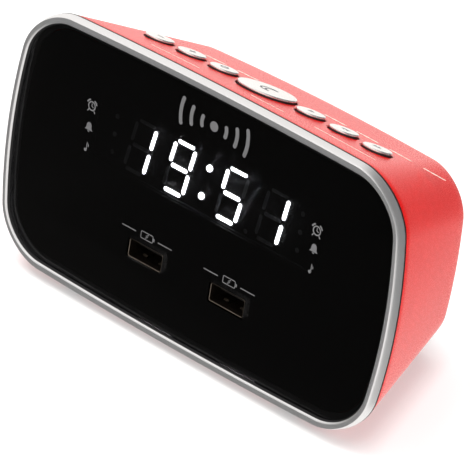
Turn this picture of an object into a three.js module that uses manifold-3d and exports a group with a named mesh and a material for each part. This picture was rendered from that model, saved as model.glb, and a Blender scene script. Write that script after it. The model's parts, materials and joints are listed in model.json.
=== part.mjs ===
// Clock radio: black display window in a silver bezel, on a red case that tapers to the rear.
// Millimetres, +Z up, front towards -Y.
//
// Two frames are used. The face frame starts at the middle of the window's front surface,
// with X to the right, Y into the case and Z up along the window. The stand frame is the
// finished part's own frame: the face frame leaned back by leanAngle, so that the case's
// base is level. Board, jack and feet sit level and are made in the stand frame.

import * as THREE from 'three';
import { mergeVertices } from 'three/addons/utils/BufferGeometryUtils.js';
import Module from 'manifold-3d';

const wasm = await Module();
wasm.setup();

// ---- Driving dimensions -------------------------------------------------------------

const gap = 0.3; // clearance between neighbouring pieces
const leanAngle = THREE.MathUtils.degToRad(11);

const windowHalfWidth = 71.0;
const windowHalfHeight = 37.8;
const windowCornerRadius = 12.5;
const windowSideBulge = 4.5; // how much the corners fall back from the middle of a side
const windowTopBulge = 1.6;
const windowThickness = 2.0;

const bezelProud = 1.35; // in front of the window
const bezelFaceSide = 1.65; // width of the flat front face at the sides
const bezelFaceTop = 2.15; // the same at the top and bottom
const bezelFlareSide = 1.15; // how much the outer edge widens towards the case
const bezelFlareTop = 0.75;
const bezelBulgeGain = 0.5; // extra side bulge of each wider outline
const bezelBack = 1.5; // where the bezel's outer band ends
const bezelEdgeDrop = 0.55; // depth of the outer chamfer
const bezelSkirtDepth = 2.8; // tongue that reaches into the case
const bezelLedge = 1.8; // shelf behind the window

const wall = 2.2;
const bodyDepth = 49.0;
const rearInsetSide = 17.7; // how much narrower the rear rim is, each side
const rearInsetTop = 15.4; // how much the top falls from front to rear
const rearCornerRadius = 12.6;
const rearSideBulge = 2.1;
const rearTopBulge = 1.6;
const rearRound = 1.5; // rounding of the rear rim

const buttonRowY = 21.4;
const buttonRowX = 1.0; // the row's middle
const smallButtonRadius = 4.3;
const snoozeButtonRadius = 8.8;
const buttonFlange = 1.2;
const smallButtonSpacing = 1.4; // between neighbouring flanges
const snoozeButtonSpacing = 1.0;
const buttonHoleGap = 0.4;
const buttonHeight = 1.1; // above the case at rest
const buttonTravel = 0.8;
const buttonSkirt = 3.0; // from the case's surface to the flange
const buttonFlangeHeight = 1.0;
const stemRadius = 1.6;
const stemPlay = 0.15; // left between stem and switch at full travel

const keyBoardDepth = 10.0; // from the case's top surface
const keyPostSpacing = 2.4; // between the last button's flange and the post
const keyBoardOverhang = 3.2; // board beyond the middle of its posts
const keyBoardHalfWidth = 4.5;
const boardThickness = 1.6;
const switchSize = 6.0;
const switchBodyHeight = 3.5;
const switchPlunger = 0.8;
const switchPlungerRadius = 1.7;

const displayHalfWidth = 43.0;
const displayCentreZ = 10.5;
const displayHalfHeight = 10.0;
const displayDepth = 11.5;
const displaySetback = 0.6; // behind the bezel's shelf
const displayRecess = 0.6; // depth of the hollow in front of the digits
const displayRim = 1.5; // width of the edge around that hollow
const displayBoardMargin = 2.6; // from the case's inner wall
const displayBoardTop = 20.6;
const displayPostX = 9.0; // from the window's side edge inwards
const postRadius = 2.6;

const socketX = 15.8;
const socketZ = -18.4;
const socketWidth = 13.1;
const socketHeight = 5.7;
const socketWall = 0.3;
const socketLength = 14.0;
const socketRecess = 0.3; // mouth behind the window's front surface
const tongueWidth = 11.1;
const tongueThickness = 1.84;
const tongueFromTop = 0.65;
const tongueRecess = 3.3; // tip behind the mouth
const tongueRoot = 1.5;

const coverThickness = 2.2;
const coverRecess = 0.6; // behind the rear rim
const coverScrewInset = 6.6; // from the cover's edges
const screwHeadRadius = 2.8;
const screwHeadHeight = 1.2;
const screwShankRadius = 1.2;
const screwLength = 9.5;
const displayScrewLength = 8.0;
const boardScrewLength = 5.5;
const bossRadius = 3.5;

const speakerRadius = 20.0;
const speakerMargin = 9.5; // from the cover's left edge
const speakerZ = -3.1;
const speakerDepth = 16.4;
const basketDepth = 9.7;
const basketNeckRadius = 7.0;
const coilInnerRadius = 4.7;
const coilOuterRadius = 5.4;
const coneMargin = 5.2; // from the basket's rim to the cone's rim
const magnetRadius = 12.5;
const magnetHoleRadius = 6.2;
const polePieceRadius = 4.0;
const grilleSlotPitch = 4.0;
const grilleSlotHeight = 2.0;
const grilleRib = 2.0;

const cellRadius = 10.0;
const cellThickness = 3.2;
const hatchWidth = 25.0;
const hatchHeight = 23.0;
const hatchThickness = 1.5;
const hatchSpacing = 5.5; // between loudspeaker and hatch
const hatchZ = 2.0;
const holderDepth = 5.2;

const jackFromSide = 17.5; // from the cover's right edge
const jackWidth = 9.0;
const jackHeight = 11.0;
const jackLength = 12.8;
const jackAxisHeight = 5.6; // above the board
const jackNozzleRadius = 4.0;
const jackBoreRadius = 3.2;
const jackPinRadius = 1.0;
const jackPinRecess = 2.8; // tip behind the nozzle's end

const grommetFromSide = 13.5; // from the cover's right edge
const grommetZ = 10.0;
const grommetHoleRadius = 3.0;
const grommetWireRadius = 1.0;

const mainBoardLift = 5.0; // underside above the inner base
const mainBoardHalfWidth = 24.0;
const mainBoardOffset = 13.0; // from the power jack to the board's middle
const mainBoardFront = 14.5;
const mainBoardRear = 38.0;
const boardEdge = 4.0; // from the board's edges to its screws
const shieldLength = 16.0;
const shieldWidth = 12.0;
const shieldHeight = 4.0;
const chipLength = 10.0;
const chipWidth = 7.0;
const chipHeight = 1.6;
const capacitorRadius = 3.0;
const capacitorHeight = 8.0;

const footRadius = 4.5;
const footHeight = 2.9;
const footStand = 1.3; // below the lowest line of the base
const footX = 42.0;
const footFrontY = -1.0;
const footRearY = 36.0;

// ---- Outlines of the case ------------------------------------------------------------

const cornerSteps = 5;
const sideSteps = 3;
const topSteps = 4;

// A rounded rectangle whose four sides bow outwards. lift moves it up the face.
function outline(halfWidth, halfHeight, radius, sideBulge, topBulge, lift = 0) {
  return { halfWidth, halfHeight, radius, sideBulge, topBulge, lift };
}

function grow(o, side, top = side) {
  const radius = Math.max(o.radius + Math.min(side, top), 0.5);
  return outline(o.halfWidth + side, o.halfHeight + top, radius, o.sideBulge, o.topBulge, o.lift);
}

function mix(o, p, share) {
  const blended = {};
  for (const key of Object.keys(o)) blended[key] = THREE.MathUtils.lerp(o[key], p[key], share);
  return blended;
}

// One quarter, from the middle of the right side to the middle of the top.
function quarterPoints(o) {
  const sideX = (z) => -o.sideBulge * (z / o.halfHeight) ** 2;
  const topZ = (x) => -o.topBulge * (x / o.halfWidth) ** 2;
  const corner = [];
  for (let i = 0; i <= cornerSteps; i += 1) {
    const turn = (Math.PI / 2) * (i / cornerSteps);
    const arcX = o.halfWidth - o.radius + o.radius * Math.cos(turn);
    const arcZ = o.halfHeight - o.radius + o.radius * Math.sin(turn);
    let x = arcX;
    let z = arcZ;
    for (let pass = 0; pass < 8; pass += 1) {
      x = arcX + sideX(z);
      z = arcZ + topZ(x);
    }
    corner.push([x, z]);
  }
  const side = [];
  for (let i = 0; i < sideSteps; i += 1) {
    const z = corner[0][1] * (i / sideSteps);
    side.push([o.halfWidth + sideX(z), z]);
  }
  const top = [];
  for (let i = topSteps - 1; i >= 0; i -= 1) {
    const x = corner[cornerSteps][0] * (i / topSteps);
    top.push([x, o.halfHeight + topZ(x)]);
  }
  return [...side, ...corner, ...top];
}

function outlinePoints(o) {
  const quarter = quarterPoints(o);
  const inner = quarter.slice(1, -1).reverse();
  const half = [...quarter, ...inner.map(([x, z]) => [-x, z])];
  const lower = [...half].reverse().map(([x, z]) => [-x, -z]).reverse();
  return [...half, [-o.halfWidth, 0], ...lower.slice(1)].map(([x, z]) => [x, z + o.lift]);
}

const windowOutline = outline(
  windowHalfWidth, windowHalfHeight, windowCornerRadius, windowSideBulge, windowTopBulge,
);

function widerRim(o, side, top, bulge) {
  const wider = grow(o, side, top);
  wider.sideBulge += bulge;
  return wider;
}

const bezelFront = widerRim(windowOutline, bezelFaceSide, bezelFaceTop, bezelBulgeGain);
const bezelRear = widerRim(bezelFront, bezelFlareSide, bezelFlareTop, bezelBulgeGain);

const bodyFront = bezelBack + gap;
const bodyLength = bodyDepth - bodyFront;
const rearTop = bezelRear.halfHeight - rearInsetTop;
const rearBottom = -bezelRear.halfHeight + bodyLength * Math.tan(leanAngle);
const bodyRearOutline = outline(
  bezelRear.halfWidth - rearInsetSide, (rearTop - rearBottom) / 2, rearCornerRadius,
  rearSideBulge, rearTopBulge, (rearTop + rearBottom) / 2,
);

function outerAt(y) {
  return mix(bezelRear, bodyRearOutline, (y - bodyFront) / bodyLength);
}

function innerAt(y) {
  return grow(outerAt(y), -wall);
}

function topSurfaceZ(x, y) {
  const o = outerAt(y);
  return o.lift + o.halfHeight - o.topBulge * (x / o.halfWidth) ** 2;
}

const coverOutline = grow(innerAt(bodyDepth), -gap);
const coverOuterY = bodyDepth - coverRecess;
const coverInnerY = coverOuterY - coverThickness;

// Level of the base and of the floor in the stand frame.
const baseZ = -bezelRear.halfHeight * Math.cos(leanAngle) - bodyFront * Math.sin(leanAngle);
const floorZ = baseZ - footStand;

// ---- Solids ----------------------------------------------------------------------------

const nothing = 1e-4;

function geometryFrom(points, faces) {
  const geometry = new THREE.BufferGeometry();
  geometry.setAttribute('position', new THREE.Float32BufferAttribute(points.flat(), 3));
  geometry.setIndex(faces.flat());
  return geometry;
}

// Rings of equal point counts, joined in turn. A closed loft joins the last ring to the
// first, which makes a frame; an open one gets a flat cap on each end.
function loft(rings, closed) {
  const count = rings[0].length;
  const points = rings.flat();
  const faces = [];
  const strips = closed ? rings.length : rings.length - 1;
  for (let ring = 0; ring < strips; ring += 1) {
    const here = ring * count;
    const next = ((ring + 1) % rings.length) * count;
    for (let i = 0; i < count; i += 1) {
      const j = (i + 1) % count;
      faces.push([here + i, next + i, here + j], [here + j, next + i, next + j]);
    }
  }
  if (!closed) {
    for (const [start, flip] of [[0, false], [(rings.length - 1) * count, true]]) {
      for (let i = 1; i < count - 1; i += 1) {
        const face = [start, start + i, start + i + 1];
        faces.push(flip ? face.reverse() : face);
      }
    }
  }
  return geometryFrom(points, faces);
}

function ringAt(o, y) {
  return outlinePoints(o).map(([x, z]) => [x, y, z]);
}

function plateFromOutline(o, front, rear) {
  return loft([ringAt(o, front), ringAt(o, rear)], false);
}

// Turned about the Y axis from a profile of [radius, y] points that closes on itself or on
// the axis.
function turned(profile, segments = 20) {
  const points = profile.map(([r, y]) => new THREE.Vector2(r, y));
  const onAxis = profile[0][0] < nothing;
  if (!onAxis) points.push(points[0].clone());
  return new THREE.LatheGeometry(points, segments);
}

function upright(geometry) {
  return geometry.rotateX(Math.PI / 2);
}

function boxBetween(low, high) {
  const size = high.map((value, axis) => value - low[axis]);
  const middle = high.map((value, axis) => (value + low[axis]) / 2);
  return new THREE.BoxGeometry(...size).translate(...middle);
}

function rodY(radius, x, z, front, rear, segments = 16) {
  const rod = new THREE.CylinderGeometry(radius, radius, rear - front, segments);
  return rod.translate(x, (front + rear) / 2, z);
}

function rodZ(radius, x, y, bottom, top, segments = 16) {
  const rod = upright(new THREE.CylinderGeometry(radius, radius, top - bottom, segments));
  return rod.translate(x, y, (bottom + top) / 2);
}

// Stand-frame geometry seen from the face frame.
function inFaceFrame(geometry) {
  return geometry.rotateX(leanAngle);
}

function solid(geometry) {
  const bare = geometry.clone();
  bare.deleteAttribute('normal');
  bare.deleteAttribute('uv');
  const merged = mergeVertices(bare, nothing);
  const index = merged.index.array;
  const kept = [];
  for (let i = 0; i < index.length; i += 3) {
    const [a, b, c] = [index[i], index[i + 1], index[i + 2]];
    if (a !== b && b !== c && c !== a) kept.push(a, b, c);
  }
  const mesh = new wasm.Mesh({
    numProp: 3,
    vertProperties: new Float32Array(merged.attributes.position.array),
    triVerts: new Uint32Array(kept),
  });
  const made = new wasm.Manifold(mesh);
  if (made.volume() >= 0) return made;
  mesh.triVerts = new Uint32Array(kept.map((_, i) => kept[i - (i % 3) + (2 - (i % 3))]));
  return new wasm.Manifold(mesh);
}

function united(...geometries) {
  return geometries.map(solid).reduce((sum, next) => sum.add(next));
}

function cut(body, ...geometries) {
  return geometries.map(solid).reduce((rest, tool) => rest.subtract(tool), body);
}

function geometryOf(body) {
  const mesh = body.getMesh();
  const geometry = new THREE.BufferGeometry();
  geometry.setAttribute('position', new THREE.BufferAttribute(mesh.vertProperties, 3));
  geometry.setIndex(new THREE.BufferAttribute(mesh.triVerts, 1));
  geometry.computeVertexNormals();
  return geometry;
}

// ---- Scene ------------------------------------------------------------------------------

const radio = new THREE.Group();
const face = new THREE.Group();
face.rotation.x = -leanAngle;
radio.add(face);

function finish(color, roughness, metalness = 0) {
  return new THREE.MeshStandardMaterial({ color, roughness, metalness });
}

const redPaint = finish(0xd9232e, 0.42);
const silverPlastic = finish(0xb4b6b8, 0.38, 0.6);
const blackGloss = finish(0x0a0a0c, 0.08);
const blackPlastic = finish(0x1c1c1e, 0.6);
const buttonPlastic = finish(0xd4d5d7, 0.35, 0.3);
const bareSteel = finish(0xa8aaad, 0.3, 1);
const boardGreen = finish(0x1f5c38, 0.55);
const blackRubber = finish(0x161616, 0.85);
const paperCone = finish(0x2b2a29, 0.9);

function piece(name, shape, material, parent = face) {
  const geometry = shape.isBufferGeometry ? geometryOf(solid(shape)) : geometryOf(shape);
  const mesh = new THREE.Mesh(geometry, material);
  mesh.name = name;
  parent.add(mesh);
  return mesh;
}

// ---- Bezel and window -------------------------------------------------------------------

const displayFront = windowThickness + gap + displaySetback;
const displayBoardFront = displayFront + displayDepth + gap;
const displayPostSide = windowHalfWidth - displayPostX;
const bezelPostFront = windowThickness + gap;

function makeBezel() {
  const opening = grow(windowOutline, gap);
  const shelf = grow(windowOutline, -bezelLedge);
  const skirtEnd = bezelBack + bezelSkirtDepth;
  const rings = [
    ringAt(opening, -bezelProud),
    ringAt(bezelFront, -bezelProud),
    ringAt(mix(bezelFront, bezelRear, 0.45), bezelEdgeDrop - bezelProud),
    ringAt(bezelRear, bezelBack - bezelEdgeDrop),
    ringAt(bezelRear, bezelBack),
    ringAt(grow(innerAt(bezelBack), -gap), bezelBack),
    ringAt(grow(innerAt(skirtEnd), -gap), skirtEnd),
    ringAt(shelf, skirtEnd),
    ringAt(shelf, windowThickness + gap),
    ringAt(opening, windowThickness + gap),
  ];
  let bezel = solid(loft(rings, true));
  const postEnd = displayBoardFront - gap;
  for (const side of [-1, 1]) {
    const x = side * displayPostSide;
    const rib = [x, side * (shelf.halfWidth + 0.5)].sort((a, b) => a - b);
    bezel = bezel.add(solid(rodY(postRadius, x, 0, bezelPostFront, postEnd)));
    bezel = bezel.add(solid(boxBetween([rib[0], bezelPostFront, -1], [rib[1], skirtEnd, 1])));
    bezel = cut(bezel, rodY(screwShankRadius + gap, x, 0, bezelPostFront + 2, postEnd + 1, 12));
  }
  piece('bezel_ring', bezel, silverPlastic);
}

function socketSpace(x, margin, front, rear) {
  const halfWidth = socketWidth / 2 + margin;
  const halfHeight = socketHeight / 2 + margin;
  return boxBetween(
    [x - halfWidth, front, socketZ - halfHeight],
    [x + halfWidth, rear, socketZ + halfHeight],
  );
}

function makeWindow() {
  const plate = solid(plateFromOutline(windowOutline, 0, windowThickness));
  const cutOuts = [-socketX, socketX].map((x) => (
    socketSpace(x, gap, -1, windowThickness + 1)
  ));
  piece('front_lens', cut(plate, ...cutOuts), blackGloss);
}

// ---- Display and charging sockets -------------------------------------------------------

function makeDisplay() {
  const block = solid(boxBetween(
    [-displayHalfWidth, displayFront, displayCentreZ - displayHalfHeight],
    [displayHalfWidth, displayFront + displayDepth, displayCentreZ + displayHalfHeight],
  ));
  const recess = boxBetween(
    [displayRim - displayHalfWidth, displayFront - 1, displayRim + displayCentreZ - displayHalfHeight],
    [
      displayHalfWidth - displayRim, displayFront + displayRecess,
      displayCentreZ + displayHalfHeight - displayRim,
    ],
  );
  piece('led_display', cut(block, recess), blackPlastic);

  const rear = displayBoardFront + boardThickness;
  const halfWidth = innerAt(rear).halfWidth - displayBoardMargin;
  const lower = innerAt(rear).lift - innerAt(rear).halfHeight + displayBoardMargin + 4;
  const board = solid(boxBetween(
    [-halfWidth, displayBoardFront, lower], [halfWidth, rear, displayBoardTop],
  ));
  const trimmed = board.intersect(solid(plateFromOutline(
    grow(innerAt(rear), -displayBoardMargin), displayBoardFront - 1, rear + 1,
  )));
  const screwHoles = [-1, 1].map((side) => (
    rodY(screwShankRadius + gap, side * displayPostSide, 0, displayBoardFront - 1, rear + 1, 12)
  ));
  piece('display_pcb', cut(trimmed, ...screwHoles), boardGreen);
  for (const [side, name] of [[-1, 'left'], [1, 'right']]) {
    const headTop = rear + gap + screwHeadHeight;
    makeScrew(`display_screw_${name}`, side * displayPostSide, 0, headTop, displayScrewLength);
  }
}

function makeSocket(name, x) {
  const mouth = socketRecess;
  const end = socketRecess + socketLength;
  const shell = cut(
    solid(socketSpace(x, 0, mouth, end)),
    socketSpace(x, -socketWall, mouth - 1, end - socketWall),
  );
  piece(`usb_shell_${name}`, shell, bareSteel);

  const innerTop = socketZ + socketHeight / 2 - socketWall;
  const tongueTop = innerTop - tongueFromTop;
  const rootEnd = end - socketWall - gap;
  const tongue = boxBetween(
    [x - tongueWidth / 2, mouth + tongueRecess, tongueTop - tongueThickness],
    [x + tongueWidth / 2, rootEnd, tongueTop],
  );
  const root = socketSpace(x, -socketWall - gap, rootEnd - tongueRoot, rootEnd);
  piece(`usb_tongue_${name}`, united(tongue, root), blackPlastic);
}

// ---- Screws ------------------------------------------------------------------------------

function screwGeometry(headTop, length) {
  const headBase = headTop - screwHeadHeight;
  const profile = [
    [0, headBase - length], [screwShankRadius, headBase - length],
    [screwShankRadius, headBase], [screwHeadRadius, headBase],
    [screwHeadRadius, headTop - 0.5], [screwHeadRadius - 0.7, headTop], [0, headTop],
  ];
  const arm = screwHeadRadius * 0.62;
  const slots = [[arm, 0.4], [0.4, arm]].map(([wide, high]) => (
    boxBetween([-wide, headTop - 0.7, -high], [wide, headTop + 1, high])
  ));
  return geometryOf(cut(solid(turned(profile, 16)), ...slots));
}

function makeScrew(name, x, z, headTop, length, parent = face) {
  const mesh = piece(name, screwGeometry(headTop, length), bareSteel, parent);
  mesh.position.set(x, 0, z);
  return mesh;
}

// ---- Case ------------------------------------------------------------------------------------

const topSlope = Math.atan2(rearInsetTop, bodyLength);
const coverScrewX = coverOutline.halfWidth - coverScrewInset;
const coverScrewZ = coverOutline.halfHeight - coverScrewInset - 3;
const coverScrews = [];
for (const x of [-coverScrewX, coverScrewX]) {
  for (const z of [coverOutline.lift + coverScrewZ, coverOutline.lift - coverScrewZ]) {
    coverScrews.push([x, z]);
  }
}

// Moves geometry made about the origin, with +Z as the outward normal, onto the plane that
// touches the sloping top along its highest line.
function onTopPlane(geometry, x) {
  geometry.rotateX(-topSlope);
  return geometry.translate(x, buttonRowY, topSurfaceZ(0, buttonRowY));
}

// How far the bowed top lies below that plane.
function sinkAt(x) {
  return (topSurfaceZ(0, buttonRowY) - topSurfaceZ(x, buttonRowY)) * Math.cos(topSlope);
}

function onTop(geometry, x) {
  return onTopPlane(geometry.translate(0, 0, -sinkAt(x)), x);
}

const smallPitch = 2 * (smallButtonRadius + buttonFlange) + smallButtonSpacing;
const snoozePitch = smallButtonRadius + snoozeButtonRadius + 2 * buttonFlange + snoozeButtonSpacing;

function buttonPlaces() {
  const places = [];
  for (let step = 2; step >= 0; step -= 1) places.push(-snoozePitch - step * smallPitch);
  places.push(0);
  for (let step = 0; step <= 2; step += 1) places.push(snoozePitch + step * smallPitch);
  return places.map((x, index) => ({
    x: x + buttonRowX,
    radius: index === 3 ? snoozeButtonRadius : smallButtonRadius,
  }));
}

const buttons = buttonPlaces();
const mainBoardBottom = baseZ + wall + mainBoardLift;
const mainBoardTop = mainBoardBottom + boardThickness;
const mainBoardX = coverOutline.halfWidth - jackFromSide - mainBoardOffset;
const mainPosts = [
  [mainBoardX - mainBoardHalfWidth + boardEdge, mainBoardFront + boardEdge],
  [mainBoardX + mainBoardHalfWidth - boardEdge, mainBoardFront + boardEdge],
];
const buttonReach = Math.max(...buttons.map(({ x, radius }) => Math.abs(x) + radius));
const keyPostX = buttonReach + buttonFlange + keyPostSpacing + postRadius;
const keyBoardHalfLength = keyPostX + keyBoardOverhang;
const feet = [
  ['foot_front_left', -footX, footFrontY],
  ['foot_front_right', footX, footFrontY],
  ['foot_rear_left', -footX, footRearY],
  ['foot_rear_right', footX, footRearY],
];
const bossEnd = coverInnerY - gap;
const bossStart = bossEnd - screwLength - 2;

function makeHousing() {
  const rings = [
    ringAt(grow(outerAt(bodyFront), -0.25), bodyFront),
    ringAt(outerAt(bodyFront + 0.3), bodyFront + 0.3),
    ringAt(outerAt(bodyDepth - rearRound), bodyDepth - rearRound),
    ringAt(grow(outerAt(bodyDepth), -0.3 * rearRound), bodyDepth - 0.3 * rearRound),
    ringAt(grow(outerAt(bodyDepth), -0.9 * rearRound), bodyDepth),
    ringAt(innerAt(bodyDepth), bodyDepth),
    ringAt(innerAt(bodyFront), bodyFront),
  ];
  let shell = solid(loft(rings, true));
  const skin = solid(plateFromOutline(outerAt(bossEnd), bossStart, bossEnd));

  for (const [x, z] of coverScrews) {
    const side = Math.sign(x);
    const wallX = side * (outerAt(bossEnd).halfWidth - wall * 0.5);
    const rib = [x, wallX].sort((a, b) => a - b);
    const boss = united(
      rodY(bossRadius, x, z, bossStart, bossEnd),
      boxBetween([rib[0], bossStart + 2, z - 1], [rib[1], bossEnd, z + 1]),
    );
    shell = shell.add(boss.intersect(skin));
    shell = cut(shell, rodY(screwShankRadius + gap, x, z, bossStart + 1.5, bossEnd + 1, 12));
  }
  for (const [x, y] of mainPosts) {
    shell = shell.add(solid(inFaceFrame(
      rodZ(postRadius, x, y, baseZ + wall * 0.4, mainBoardBottom - gap),
    )));
    shell = cut(shell, inFaceFrame(
      rodZ(screwShankRadius + gap, x, y, baseZ + wall + 0.5, mainBoardBottom + 1, 12),
    ));
  }
  for (const side of [-1, 1]) {
    const x = side * keyPostX;
    const end = -keyBoardDepth + gap;
    const root = -wall * 0.9 - sinkAt(x);
    const pilotEnd = -wall - 0.8 - sinkAt(x);
    shell = shell.add(solid(onTopPlane(rodZ(postRadius, 0, 0, end, root), x)));
    shell = cut(shell, onTopPlane(
      rodZ(screwShankRadius + gap, 0, 0, end - 1, pilotEnd, 12), x,
    ));
  }
  for (const { x, radius } of buttons) {
    const segments = radius === snoozeButtonRadius ? 24 : 16;
    shell = cut(shell, onTop(rodZ(radius + buttonHoleGap, 0, 0, -5, 5, segments), x));
  }
  for (const [, x, y] of feet) {
    shell = cut(shell, inFaceFrame(
      rodZ(footRadius + gap, x, y, floorZ - 5, floorZ + footHeight + gap),
    ));
  }
  piece('housing_shell', shell, redPaint);
}

// ---- Buttons, switches and their board -----------------------------------------------------

function makeButton(name, { x, radius }) {
  const plungerTop = -keyBoardDepth + switchBodyHeight + switchPlunger + sinkAt(x);
  const stemEnd = plungerTop + buttonTravel + stemPlay;
  const edge = 0.5;
  const profile = [
    [0, stemEnd], [stemRadius, stemEnd], [stemRadius, -buttonSkirt - buttonFlangeHeight],
    [radius + buttonFlange, -buttonSkirt - buttonFlangeHeight],
    [radius + buttonFlange, -buttonSkirt], [radius, -buttonSkirt],
    [radius, buttonHeight - edge], [radius - edge, buttonHeight - 0.15],
    [radius * 0.5, buttonHeight], [0, buttonHeight],
  ];
  const segments = radius === snoozeButtonRadius ? 24 : 16;
  piece(name, onTop(upright(turned(profile, segments)), x), buttonPlastic);
}

function makeSwitch(name, { x }) {
  const base = -keyBoardDepth + gap * 0.5;
  const half = switchSize / 2;
  const top = -keyBoardDepth + switchBodyHeight;
  const body = united(
    boxBetween([-half, -half, base], [half, half, top]),
    rodZ(switchPlungerRadius, 0, 0, top - 1, top + switchPlunger, 12),
  );
  piece(name, onTopPlane(geometryOf(body), x), blackPlastic);
}

function makeKeyBoard() {
  const board = solid(boxBetween(
    [-keyBoardHalfLength, -keyBoardHalfWidth, -keyBoardDepth - boardThickness],
    [keyBoardHalfLength, keyBoardHalfWidth, -keyBoardDepth],
  ));
  const holes = [-1, 1].map((side) => rodZ(
    screwShankRadius + gap, side * keyPostX, 0, -keyBoardDepth - 3, -keyBoardDepth + 1, 12,
  ));
  const inside = solid(loft([
    ringAt(grow(innerAt(bodyFront), -gap), bodyFront),
    ringAt(grow(innerAt(bodyDepth), -gap), bodyDepth),
  ], false));
  const placed = solid(onTopPlane(geometryOf(cut(board, ...holes)), 0));
  piece('key_pcb', placed.intersect(inside), boardGreen);

  for (const [side, name] of [[-1, 'left'], [1, 'right']]) {
    const screw = screwGeometry(0, boardScrewLength);
    screw.rotateX(-Math.PI / 2);
    screw.translate(side * keyPostX, 0, -keyBoardDepth - boardThickness - gap - screwHeadHeight);
    piece(`key_screw_${name}`, onTopPlane(screw, 0), bareSteel);
  }
}

function makeButtons() {
  let count = 0;
  for (const [index, place] of buttons.entries()) {
    const isSnooze = place.radius === snoozeButtonRadius;
    if (!isSnooze) count += 1;
    makeButton(isSnooze ? 'snooze_button' : `button_${count}`, place);
    makeSwitch(`switch_${index + 1}`, place);
  }
}

// ---- Rear cover and what sits on it -----------------------------------------------------------

const speakerX = -(coverOutline.halfWidth - speakerMargin - speakerRadius);
const hatchX = speakerX + speakerRadius + hatchSpacing + hatchWidth / 2;
const jackX = coverOutline.halfWidth - jackFromSide;
const jackZ = mainBoardTop + jackAxisHeight;
const grommetX = coverOutline.halfWidth - grommetFromSide;

// Stand-frame Y of the cover's inner face at a stand-frame height.
function coverFaceY(z, faceY) {
  const faceZ = (z + faceY * Math.sin(leanAngle)) / Math.cos(leanAngle);
  return faceY * Math.cos(leanAngle) + faceZ * Math.sin(leanAngle);
}

function grilleSlots() {
  const reach = speakerRadius - 3;
  const rows = Math.floor(reach / grilleSlotPitch);
  const slots = [];
  for (let row = -rows; row <= rows; row += 1) {
    const z = speakerZ + row * grilleSlotPitch;
    const halfLength = Math.sqrt(reach ** 2 - (row * grilleSlotPitch) ** 2);
    for (const side of [-1, 1]) {
      const ends = [side * grilleRib / 2, side * halfLength].sort((a, b) => a - b);
      slots.push(boxBetween(
        [speakerX + ends[0], coverInnerY - 1, z - grilleSlotHeight / 2],
        [speakerX + ends[1], coverOuterY + 1, z + grilleSlotHeight / 2],
      ));
    }
  }
  return slots;
}

function makeRearCover() {
  const through = [coverInnerY - 1, coverOuterY + 1];
  let cover = solid(plateFromOutline(coverOutline, coverInnerY, coverOuterY));
  cover = cut(cover, ...grilleSlots());
  cover = cut(
    cover,
    rodY(grommetHoleRadius, grommetX, grommetZ, ...through),
    inFaceFrame(rodY(jackNozzleRadius + 0.8, jackX, jackZ, 30, 60)),
    boxBetween(
      [hatchX - hatchWidth / 2, through[0], hatchZ - hatchHeight / 2],
      [hatchX + hatchWidth / 2, through[1], hatchZ + hatchHeight / 2],
    ),
  );
  for (const [x, z] of coverScrews) {
    cover = cut(
      cover,
      rodY(screwShankRadius + gap, x, z, ...through, 12),
      rodY(screwHeadRadius + gap, x, z, coverOuterY - 1, coverOuterY + 1),
    );
  }
  piece('rear_cover', cover, blackPlastic);

  const headTop = coverOuterY - 1 + gap + screwHeadHeight;
  for (const [index, [x, z]] of coverScrews.entries()) {
    makeScrew(`cover_screw_${index + 1}`, x, z, headTop, screwLength);
  }
}

function makeSpeaker() {
  const flangeRear = coverInnerY - gap;
  const basketBack = flangeRear - basketDepth;
  const basket = [
    [basketNeckRadius, basketBack], [11, basketBack], [speakerRadius - 2.4, flangeRear - 1.5],
    [speakerRadius, flangeRear - 1.2], [speakerRadius, flangeRear],
    [speakerRadius - 2.2, flangeRear], [10.4, basketBack + 1], [basketNeckRadius, basketBack + 1],
  ];
  const coneEdge = speakerRadius - coneMargin;
  const coneRim = flangeRear - 1.0;
  const coneNeck = basketBack + 3.2;
  const cone = [
    [0, coneNeck], [coilInnerRadius, coneNeck], [coilInnerRadius, basketBack - 2],
    [coilOuterRadius, basketBack - 2], [coilOuterRadius, coneNeck], [coneEdge - 0.8, coneRim - 0.6],
    [coneEdge, coneRim - 0.6], [coneEdge, coneRim], [coneEdge - 1.1, coneRim],
    [coilOuterRadius, coneNeck + 0.8], [3.5, coneNeck + 2], [0, coneNeck + 2.5],
  ];
  const magnetRear = basketBack - gap;
  const magnetFront = flangeRear - speakerDepth;
  const grooveEnd = basketBack - 4;
  const magnet = [
    [0, magnetFront], [magnetRadius, magnetFront], [magnetRadius, magnetRear],
    [magnetHoleRadius, magnetRear], [magnetHoleRadius, grooveEnd],
    [polePieceRadius, grooveEnd], [polePieceRadius, magnetRear], [0, magnetRear],
  ];
  const parts = [
    ['speaker_frame', basket, bareSteel], ['speaker_cone', cone, paperCone],
    ['speaker_magnet', magnet, bareSteel],
  ];
  for (const [name, profile, material] of parts) {
    piece(name, turned(profile).translate(speakerX, 0, speakerZ), material);
  }
}

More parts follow.
